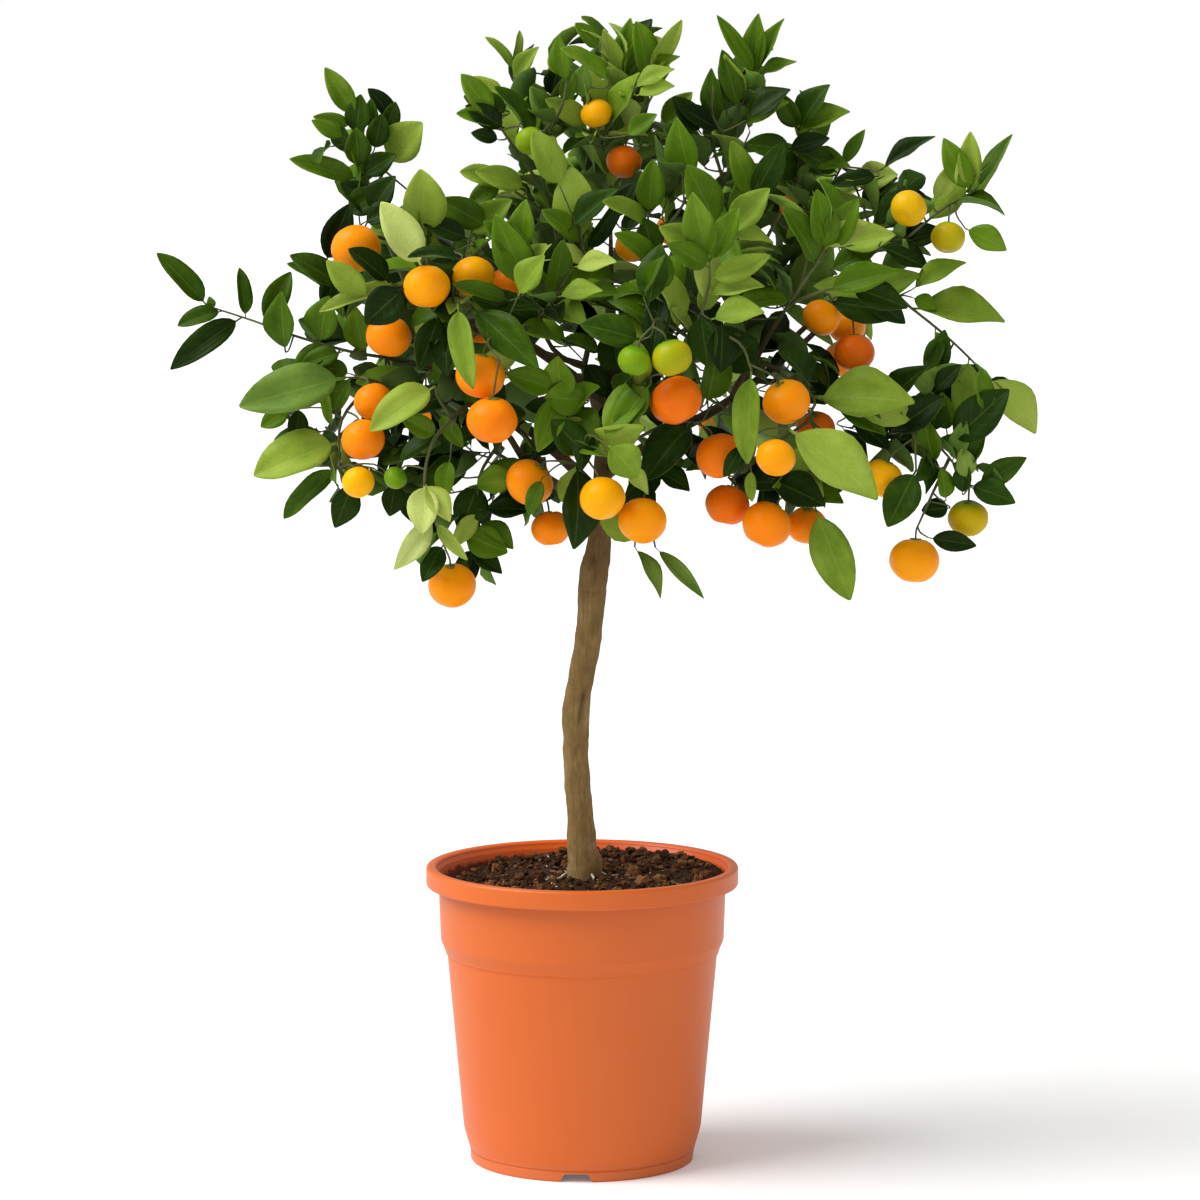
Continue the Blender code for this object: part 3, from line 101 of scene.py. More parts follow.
# Shoots. "limb" and "at" say which limb carries the shoot and how far along it. "routes" are
# centre lines in cm: the stem, then the twigs that leave a stem's point. "leaves" are
# (route, station, heading, towards, length, width, tone): heading is the way a leaf points seen
# from the front, in degrees, 0 right and 90 up, and towards tilts it to the front. "fill" is the
# length in cm of the leaves that stand between them, "tufts" the number of leafy side twigs, and
# "bare" the routes that carry no such leaves.
SHOOTS = {
    "left_reach": dict(
        limb="left", at=1, fill=3.2, tufts=0, bare=(0,),
        routes=[
            [(-13.5, -4, 57), (-16, -5, 57.5), (-19.5, -5, 58.5), (-22.5, -4, 59.5),
             (-25.8, -3, 60.5)],
            [(-15, -4.5, 57.3), (-16, -4, 59.5), (-16.6, -3.5, 61)],
        ],
        leaves=[
            (0, 1, 133, 5, 5, 1.6, "n"), (0, 0.8, 216, 10, 6.1, 1.8, "d"),
            (0, 0.78, 97, -5, 3.5, 1.1, "n"), (0, 0.91, 198, 0, 3.3, 1.3, "n"),
            (0, 0.96, 112, 10, 0.9, 0.6, "m"), (0, 0.68, 62, -10, 4.1, 1.6, "n"),
            (0, 0.36, 78, 10, 3.4, 2.2, "m"), (0, 0.3, 215, 15, 3.2, 1.6, "n"),
            (1, 1, 146, 5, 4.4, 1.5, "n"), (0, 0.12, 100, 5, 3.4, 1.7, "m"),
        ]),
    "left_mid": dict(
        limb="left", at=0.85, fill=3.6, tufts=2,
        routes=[
            [(-12, -6.5, 54.8), (-14.5, -7, 55.7), (-16, -8, 55.9)],
            [(-14.3, -7, 55.5), (-16.3, -8.3, 53), (-16.4, -9, 49.9)],
        ],
        leaves=[
            (0, 1, 195, 5, 7.5, 3.1, "g"), (1, 0.75, 201, 8, 6.2, 3.3, "h"),
            (1, 1, 223, -10, 5.4, 1.6, "n"), (0, 0.9, 240, -15, 3, 1.8, "n"),
            (0, 0.3, 250, 10, 3.6, 1.8, "d"),
        ]),
    "upper_left": dict(
        limb="upper_left", at=1, fill=3.4, tufts=4,
        routes=[
            [(-12, -2, 61.5), (-13.5, -1, 65), (-14.5, 0, 68), (-15.5, 0, 71), (-16, 0, 73.5)],
            [(-14.5, 0, 68), (-13.5, 1, 70.5), (-13, 1, 73)],
            [(-13.5, -1, 65), (-16, -3, 65.5), (-17, -4, 63.5)],
        ],
        leaves=[
            (1, 0.48, 48, 10, 3.8, 2.6, "h"), (1, 1, 128, 0, 3, 1.3, "d"),
            (0, 0.95, 168, 10, 2.8, 1, "m"), (2, 1, 262, 5, 3.8, 1.6, "d"),
            (0, 0.62, 112, 25, 3.4, 1.6, "m"),
        ]),
    "upper_left_front": dict(
        limb="upper_left", at=0.8, fill=3.6, tufts=5,
        routes=[
            [(-9, -7, 61), (-10.3, -8.5, 63.5), (-10.5, -9, 65.5)],
            [(-9.4, -7.4, 61.7), (-8, -7, 63.5), (-7.5, -6.5, 66)],
            [(-9.5, -7.5, 61.9), (-7.4, -11.5, 61), (-7.8, -12.8, 60.2)],
            [(-9.6, -7.6, 62), (-12, -9, 62.2)],
            [(-10.1, -8.1, 62.8), (-10.4, -10.5, 64.6), (-10.3, -12, 65)],
        ],
        leaves=[
            (0, 1, 94, 10, 4.6, 2.8, "h"), (1, 0.9, 40, 10, 3.8, 1.8, "m"),
            (3, 1, 197, 10, 6, 1.2, "l"), (2, 0.5, 5, 10, 5.6, 1.2, "d"),
            (3, 0.8, 217, 10, 3.8, 1.9, "d"),
        ]),
    "young_left": dict(
        limb="left_low", at=1, fill=3, tufts=1,
        routes=[
            [(-8.5, -11, 53.5), (-10, -13, 51.8), (-10.5, -13.2, 49), (-9.8, -12.5, 46.5),
             (-9.2, -10.5, 44.4)],
            [(-8.7, -11.2, 53.3), (-9.6, -12, 54.8), (-9.8, -12.3, 55.6)],
        ],
        leaves=[
            (1, 1, 214, 18, 5.4, 2.4, "l"), (0, 0.5, 268, 15, 3.4, 2, "y"),
            (0, 0.7, 234, 10, 4.5, 1.5, "y"), (0, 0.75, 311, 15, 3.4, 0.9, "l"),
            (0, 0.5, 305, 20, 3.2, 1.5, "l"), (0, 0.95, 240, 20, 3, 1.5, "d"),
            (0, 0.2, 150, 20, 3, 1.4, "m"),
        ]),
    "left_low": dict(
        limb="left_low", at=0.7, fill=3.6, tufts=3,
        routes=[
            [(-5.5, -6, 51.5), (-7, -7, 49), (-7, -7.5, 46)],
            [(-6, -6.3, 50.7), (-3.6, -7, 49.3), (-2.6, -7.6, 48)],
        ],
        leaves=[
            (0, 1, 322, 10, 3, 1.5, "m"), (0, 0.9, 232, 15, 3, 1.2, "l"),
            (0, 0.55, 250, 10, 3.8, 2.2, "d"), (0, 0.98, 270, -10, 3.2, 1.2, "d"),
            (0, 0.3, 330, 15, 3.8, 1.8, "m"),
        ]),
    "centre_left": dict(
        limb="front", at=0.9, fill=3.8, tufts=6,
        routes=[
            [(-2.5, -9, 59), (-3.5, -11, 62), (-4, -12, 64.5)],
            [(-2.8, -9.5, 59.9), (-1.5, -11, 62), (-0.5, -11, 63.5)],
            [(-2.7, -9.4, 59.7), (-4.8, -13, 59.2), (-6.2, -15, 58.8), (-5.4, -17, 57.6)],
        ],
        leaves=[
            (0, 0.6, 107, 15, 4.9, 2.2, "m"), (1, 0.4, 80, 10, 4.2, 1.8, "m"),
            (0, 0.12, 160, 15, 5.6, 2.2, "n"), (0, 0.7, 60, 30, 3.2, 2, "h"),
            (1, 1, 8, 25, 3.2, 1.4, "l"), (0, 1, 140, 15, 3.4, 1.5, "m"),
            (0, 1, 85, 5, 3.6, 1.6, "m"),
        ]),
    "top_left": dict(
        limb="leader", at=0.85, fill=3.3, tufts=7,
        routes=[
            [(-1.5, -3, 64.5), (-2.5, -4, 68.5), (-3.2, -3, 72), (-4.5, -2, 75), (-4.7, -1, 77)],
            [(-2.5, -4, 68.5), (-4, -5.5, 70.5), (-6, -6, 73.5)],
            [(-2, -3.5, 66.5), (-4, -4.5, 68), (-5.5, -4.5, 69)],
            [(-3, -3, 72), (-1.5, -5.5, 73.8), (-1, -6, 75.8)],
        ],
        leaves=[
            (0, 1, 80, 0, 2.4, 0.7, "h"), (0, 0.97, 131, 0, 3, 0.8, "h"),
            (0, 0.9, 55, 10, 3, 1.2, "h"), (1, 1, 127, 5, 3.6, 1.6, "m"),
            (1, 0.9, 165, 10, 3, 1.3, "m"), (2, 1, 165, 15, 3, 1.6, "h"),
            (2, 1, 215, 10, 2.8, 1.4, "m"), (0, 0.6, 300, 45, 3.8, 2, "l"),
            (3, 1, 100, 5, 3.2, 1.4, "m"),
        ]),
    "top_mid": dict(
        limb="leader", at=1, fill=3.4, tufts=8,
        routes=[
            [(2, 0, 65), (2, -1, 69), (2.5, -2, 73), (3, -2, 76.2)],
            [(2.2, -1.2, 70), (0.5, -4, 73), (0, -5, 75.5)],
            [(2.3, -1.4, 71), (4.2, -3, 74), (4.5, -4, 76.3)],
            [(2, -0.8, 68.5), (4, 2, 70.5), (5.5, 3, 72.5)],
        ],
        leaves=[
            (0, 1, 85, 0, 4, 1.4, "m"), (0, 0.98, 113, 10, 3.8, 1.3, "h"),
            (0, 0.96, 64, 10, 3.8, 1.6, "m"), (2, 1, 58, 0, 4.4, 1.2, "h"),
            (2, 0.95, 35, 15, 2.8, 1.2, "m"), (3, 1, 50, 0, 3.4, 1.5, "m"),
            (1, 0.6, 150, 15, 3.6, 1.6, "h"),
        ]),
    "top_right": dict(
        limb="upper_right", at=0.6, fill=3.6, tufts=8,
        routes=[
            [(7.5, 2, 65), (9.5, 1, 68), (10.5, 0, 71), (11, 0, 74), (12, -1, 76.2)],
            [(9.8, 0.7, 69), (9, 3, 72), (8.5, 4, 74.5)],
            [(10.5, 0, 71), (9, -3, 73.5), (9, -4, 75.5)],
        ],
        leaves=[
            (0, 1, 123, 5, 5, 1.1, "m"), (0, 1, 88, 0, 4.3, 1.5, "m"), (0, 1, 64, 0, 4.4, 1, "m"),
            (0, 1, 20, 10, 3, 1, "m"), (0, 0.85, 115, 20, 3.6, 1.6, "h"),
            (0, 0.7, 25, 15, 4, 1.6, "m"), (2, 0.4, 150, 10, 3.4, 1.5, "d"),
        ]),
    "right_top": dict(
        limb="upper_right", at=1, fill=3.6, tufts=6,
        routes=[
            [(12.5, 4, 64), (14, 3, 67), (15, 1, 69.5), (15, 0, 72.5)],
            [(14, 3, 67), (17, 1, 68.5), (18, 0, 70)],
        ],
        leaves=[
            (0, 1, 56, 5, 3.8, 1.9, "n"), (0, 1, 20, 10, 3.8, 1.7, "m"),
            (0, 1, 120, 10, 3.2, 1.4, "n"), (1, 1, 58, 0, 3, 0.9, "m"),
            (0, 0.6, 122, 25, 4, 1.8, "n"), (0, 0.8, 350, 20, 3.8, 1.6, "m"),
            (1, 0.9, 150, 15, 3.6, 1.6, "n"),
        ]),
    "right_up": dict(
        limb="right", at=1, fill=3.6, tufts=3,
        routes=[
            [(18.5, -1, 61.5), (20, -2, 64), (22, -4, 65), (24.5, -4, 67), (27, -4, 68.5)],
            [(20.3, -2.3, 64.2), (19.6, 0, 67), (18.8, 1, 69)],
        ],
        leaves=[
            (0, 0.97, 118, 5, 4.2, 1.7, "m"), (0, 0.96, 90, 0, 4.2, 1.5, "h"),
            (0, 1, 57, 0, 4.5, 0.9, "g"), (1, 1, 8, 25, 3.4, 1.9, "l"),
            (0, 0.45, 20, 10, 3.6, 1.5, "d"),
        ]),
    "right_reach": dict(
        limb="right", at=0.97, fill=3.6, tufts=1,
        routes=[
            [(17.5, -4, 60.5), (20.5, -5, 62), (22.5, -5, 60.5), (25, -5, 58.5), (27, -5, 56.6),
             (27.8, -5, 55.7)],
        ],
        leaves=[
            (0, 0.47, 352, 3, 6.4, 2.4, "h"), (0, 0.68, 250, 10, 3.2, 1.3, "n"),
            (0, 0.86, 264, 5, 4.6, 1.8, "h"), (0, 1, 311, 3, 5.1, 2.4, "l"),
            (0, 0.1, 20, 15, 5, 1.9, "m"),
        ]),
    "right_low": dict(
        limb="right", at=0.9, fill=3.4, tufts=3,
        routes=[
            [(19, -5, 54), (22, -6, 53), (24.5, -7, 51), (26.5, -7, 48.5)],
            [(24.5, -7, 51), (27, -8, 52.5), (27.5, -8, 53.5)],
            [(21.8, -6, 53.1), (22.5, -9, 52), (22.6, -10.5, 49.8)],
            [(25.1, -7, 50.3), (24, -7.2, 48), (22.9, -8, 45.7)],
        ],
        leaves=[
            (2, 1, 243, 8, 4.3, 2.3, "n"), (1, 0.2, 44, 10, 5.4, 2.6, "d"),
            (0, 1, 339, 15, 3.4, 1.6, "n"), (0, 0.8, 75, 15, 3.2, 1.3, "g"),
            (0, 0.15, 42, 20, 4.8, 1.7, "d"), (1, 1, 100, 10, 3, 1.4, "m"),
        ]),
    "right_mid": dict(
        limb="right", at=0.75, fill=3.8, tufts=4,
        routes=[
            [(13.5, -7.5, 56.2), (15.2, -8.4, 54.9), (17, -9, 54.2)],
            [(14.5, -7.9, 56), (15.7, -11.4, 54.3), (13.8, -14.4, 52.9)],
            [(14.3, -7.9, 56), (15.8, -8, 52.5), (15.4, -10.5, 49.2), (15.8, -11.2, 47.2)],
            [(15.6, -8, 53), (12.6, -7.8, 51), (11, -8.6, 49.8)],
        ],
        leaves=[
            (0, 0.7, 358, 16, 6.9, 3.3, "h"), (1, 1, 322, 10, 7.6, 3.2, "l"),
            (2, 1, 291, 0, 6.6, 2.6, "h"), (2, 0.7, 338, 10, 3.8, 2, "d"),
            (0, 1, 330, 10, 4.2, 1.8, "n"),
        ]),
    "centre_front": dict(
        limb="front", at=1, fill=3.8, tufts=6,
        routes=[
            [(7, -10, 58), (8, -13, 60.5), (8.5, -14, 62.5), (8.5, -14, 64)],
            [(7.4, -11.2, 59), (5.5, -13, 61.5), (5, -12.5, 63.5)],
            [(7.7, -12.1, 59.8), (10.5, -14, 58.6), (11.3, -15, 56.8)],
            [(7.3, -10.9, 58.7), (5.2, -14.5, 60.2), (4.7, -16.6, 59.8)],
        ],
        leaves=[
            (0, 0.7, 10, 15, 4, 1.6, "h"), (0, 0.85, 22, 10, 4.4, 1.5, "h"),
            (0, 1, 62, 10, 4.2, 1.6, "m"), (0, 1, 104, 10, 4.8, 2, "m"),
            (0, 0.5, 278, 15, 3.6, 2, "n"), (2, 1, 268, 0, 6.2, 1.9, "h"),
            (1, 1, 140, 15, 3.8, 1.7, "m"), (1, 0.7, 262, 15, 4.2, 1.8, "d"),
            (0, 0.95, 150, 25, 3.6, 1.6, "m"),
        ]),
    "centre_right": dict(
        limb="right", at=0.8, fill=4, tufts=6,
        routes=[
            [(13.5, -8, 60), (15, -10, 62.5), (16.5, -10, 64.5)],
            [(13.9, -8.6, 60.8), (16, -10.5, 61.8), (18, -10.5, 62.2)],
        ],
        leaves=[
            (1, 0.7, 15, 10, 5, 1.8, "m"), (1, 1, 340, 10, 4.2, 1.8, "d"),
            (0, 0.8, 120, 15, 4.8, 2, "m"), (0, 1, 60, 10, 4.2, 1.8, "m"),
            (0, 1, 100, 15, 4.4, 1.9, "m"), (0, 0.3, 190, 15, 4.2, 1.9, "m"),
        ]),
    "centre_low": dict(
        limb="front", at=0.6, fill=3.6, tufts=5, bare=(3, 5),
        routes=[
            [(1, -9, 53), (0.3, -12, 51.8), (-0.3, -12.2, 50.4)],
            [(0.9, -9.8, 52.7), (-1, -11.5, 54.3), (-1.8, -12, 55.3)],
            [(0.9, -9.7, 52.7), (3.2, -12.5, 54.4), (4.4, -14, 56.2)],
            [(0.9, -9.6, 52.8), (3.2, -9, 51.5), (4.4, -9.2, 49), (4.6, -9.6, 46.5),
             (5, -10, 44.5)],
            [(3.2, -9, 51.5), (6, -10, 53), (7.5, -10.5, 53)],
            [(3.9, -9.1, 50.2), (3.8, -9.4, 47), (3.6, -9.8, 44.5)],
        ],
        leaves=[
            (1, 0.8, 95, 20, 3.2, 2.2, "m"), (1, 0.5, 45, 35, 3, 1.8, "m"),
            (2, 0.95, 233, 25, 4.8, 2.4, "m"), (1, 0.6, 305, 30, 3.6, 2.3, "m"),
            (1, 0.9, 250, 20, 4.2, 1.8, "m"), (0, 0.5, 320, 60, 3.6, 2.6, "m"),
            (0, 1, 268, 0, 5.8, 2.6, "d"), (5, 1, 297, 10, 3.9, 1, "g"),
            (3, 1, 314, 10, 4.8, 0.9, "g"), (4, 1, 243, 15, 5, 2.8, "d"),
            (1, 1, 160, 15, 3.6, 1.8, "m"),
        ]),
    "upper_mid": dict(
        limb="leader", at=0.8, fill=4, tufts=8,
        routes=[
            [(4, -4, 61), (4.5, -7, 64.5), (4.5, -8, 67)],
            [(4, -4.6, 61.7), (1, -7, 63), (0, -7.5, 65)],
            [(4.5, -7, 64.5), (6.5, -8, 67), (7.5, -8.5, 69)],
            [(4.5, -7, 64.5), (8.5, -8.5, 65.5), (11.5, -9, 68)],
        ],
        leaves=[
            (1, 0.3, 178, 40, 5.4, 1.8, "m"), (0, 0.9, 153, 30, 4, 1.7, "h"),
            (1, 1, 140, 15, 3.6, 1.6, "m"), (1, 0.9, 56, 15, 4.8, 1.2, "d"),
            (2, 1, 104, 5, 4.6, 2, "m"), (3, 1, 62, 10, 4.4, 1.8, "n"),
            (3, 1, 110, 10, 4.2, 1.7, "m"), (3, 0.6, 300, 40, 4.4, 2, "m"),
            (0, 1, 85, 15, 3.8, 1.8, "m"),
        ]),
    "back_left": dict(
        limb="back", at=1, fill=4.2, tufts=9,
        routes=[
            [(-6, 8, 58), (-10, 11, 60), (-14, 12, 62), (-17.5, 11, 63.5)],
            [(-6.8, 8.6, 58.4), (-8.5, 13, 57.2), (-11.5, 16, 55)],
            [(-8, 9.5, 59), (-7.5, 14, 62.5), (-8.5, 16, 66)],
        ],
        leaves=[]),
    "back_mid": dict(
        limb="back", at=0.97, fill=4.2, tufts=10,
        routes=[
            [(0.5, 10, 60), (0, 14, 64), (0, 15, 68), (0.5, 13, 71.5)],
            [(0.4, 10.7, 60.7), (2.5, 16, 61), (3.5, 19, 60.2)],
            [(0.1, 13, 63), (-4, 15, 66), (-6.5, 14, 69)],
        ],
        leaves=[]),
    "back_right": dict(
        limb="back_right", at=1, fill=4.2, tufts=9,
        routes=[
            [(12.5, 8, 60), (15.5, 11, 63), (17, 11.5, 66.5)],
            [(13, 8.5, 60.5), (16.5, 12.5, 59.8), (20, 13.5, 58.3)],
            [(13.5, 9, 61), (10.5, 14, 63.5), (9.5, 16, 67)],
        ],
        leaves=[]),
    "back_low": dict(
        limb="back_right", at=0.5, fill=4.2, tufts=8,
        routes=[
            [(6.5, 8, 54), (9, 12.5, 54.5), (11.5, 16, 53)],
            [(7, 8.9, 54.1), (3, 13.5, 54), (-0.5, 16.5, 52.3)],
            [(7.3, 9.4, 54.2), (11.5, 10.5, 51.8), (15, 11.5, 50)],
        ],
        leaves=[]),
}
# A leaf's tone, from dark 0 to young 1, and how grey its green is. The tone is partly the leaf's
# age and partly painted shade and light: darker where a leaf lies in shade, paler where it catches
# the light. The grey is a painted sheen.
LEAF_TONES = {
    "d": (0.08, 0.0), "n": (0.24, 0.0), "m": (0.40, 0.0), "h": (0.54, 0.0), "l": (0.66, 0.0),
    "y": (0.94, 0.0), "g": (0.50, 0.8),
}
FILL_TONES = "ddnnnmmmmhhhll"    # what the tone of a leaf between the listed ones is drawn from
DEEP_SHADE_TONES = "dddddnnm"          # the same, deep in the crown, darker there as painted shade
FILL_SCALE = 1.12                # what a shoot's "fill" is enlarged by
FILL_WIDTHS = (0.42, 0.56)       # width over length
LEAF_SPACING = 1.15              # cm between the leaves of a spiral
LEAF_TURN = 144.0                # degrees round the stem from one leaf to the next
LEAF_LEAN = 50.0                 # degrees between a spiral leaf and its stem
SHOWN_WIDTH = 0.14               # share of a listed leaf's width that no filling leaf covers
COVERING_WIDTH = 0.2             # share of a filling leaf's width that covers what is behind it
BROADER = 1.1                    # a listed leaf's width over the width that is seen of it
FACE_UP = 30.0                   # degrees that a listed leaf's upper side turns to the sky
FACE_SPREAD = 20.0               # degrees either way that this differs from leaf to leaf
# Degrees sideways and upwards by which a leaf is swung, in turn, until it clears the fruits.
SWINGS = ((0, 0), (0, 12), (0, -12), (14, 0), (-14, 0), (0, 24), (20, 20), (-20, 20), (0, -24),
          (30, 0), (-30, 0))
TUFT_LENGTHS = (2.4, 4.6)        # cm
TUFT_LEAVES = 6
CROWN_CENTRE = Vector((1.2, 0.0, 57.0)) * CM
SHOOT_MARGIN = 10.0 * MM         # how far leaves may stand outside the box of their shoot
CROWN_MARGIN = 3.0 * MM          # how far they may stand outside the box of the whole plant
EYE = Vector((0.0125, -3.2, 0.765))  # where the camera stands, in metres
FAR_BEHIND = 9.0                 # metres, a depth behind every leaf

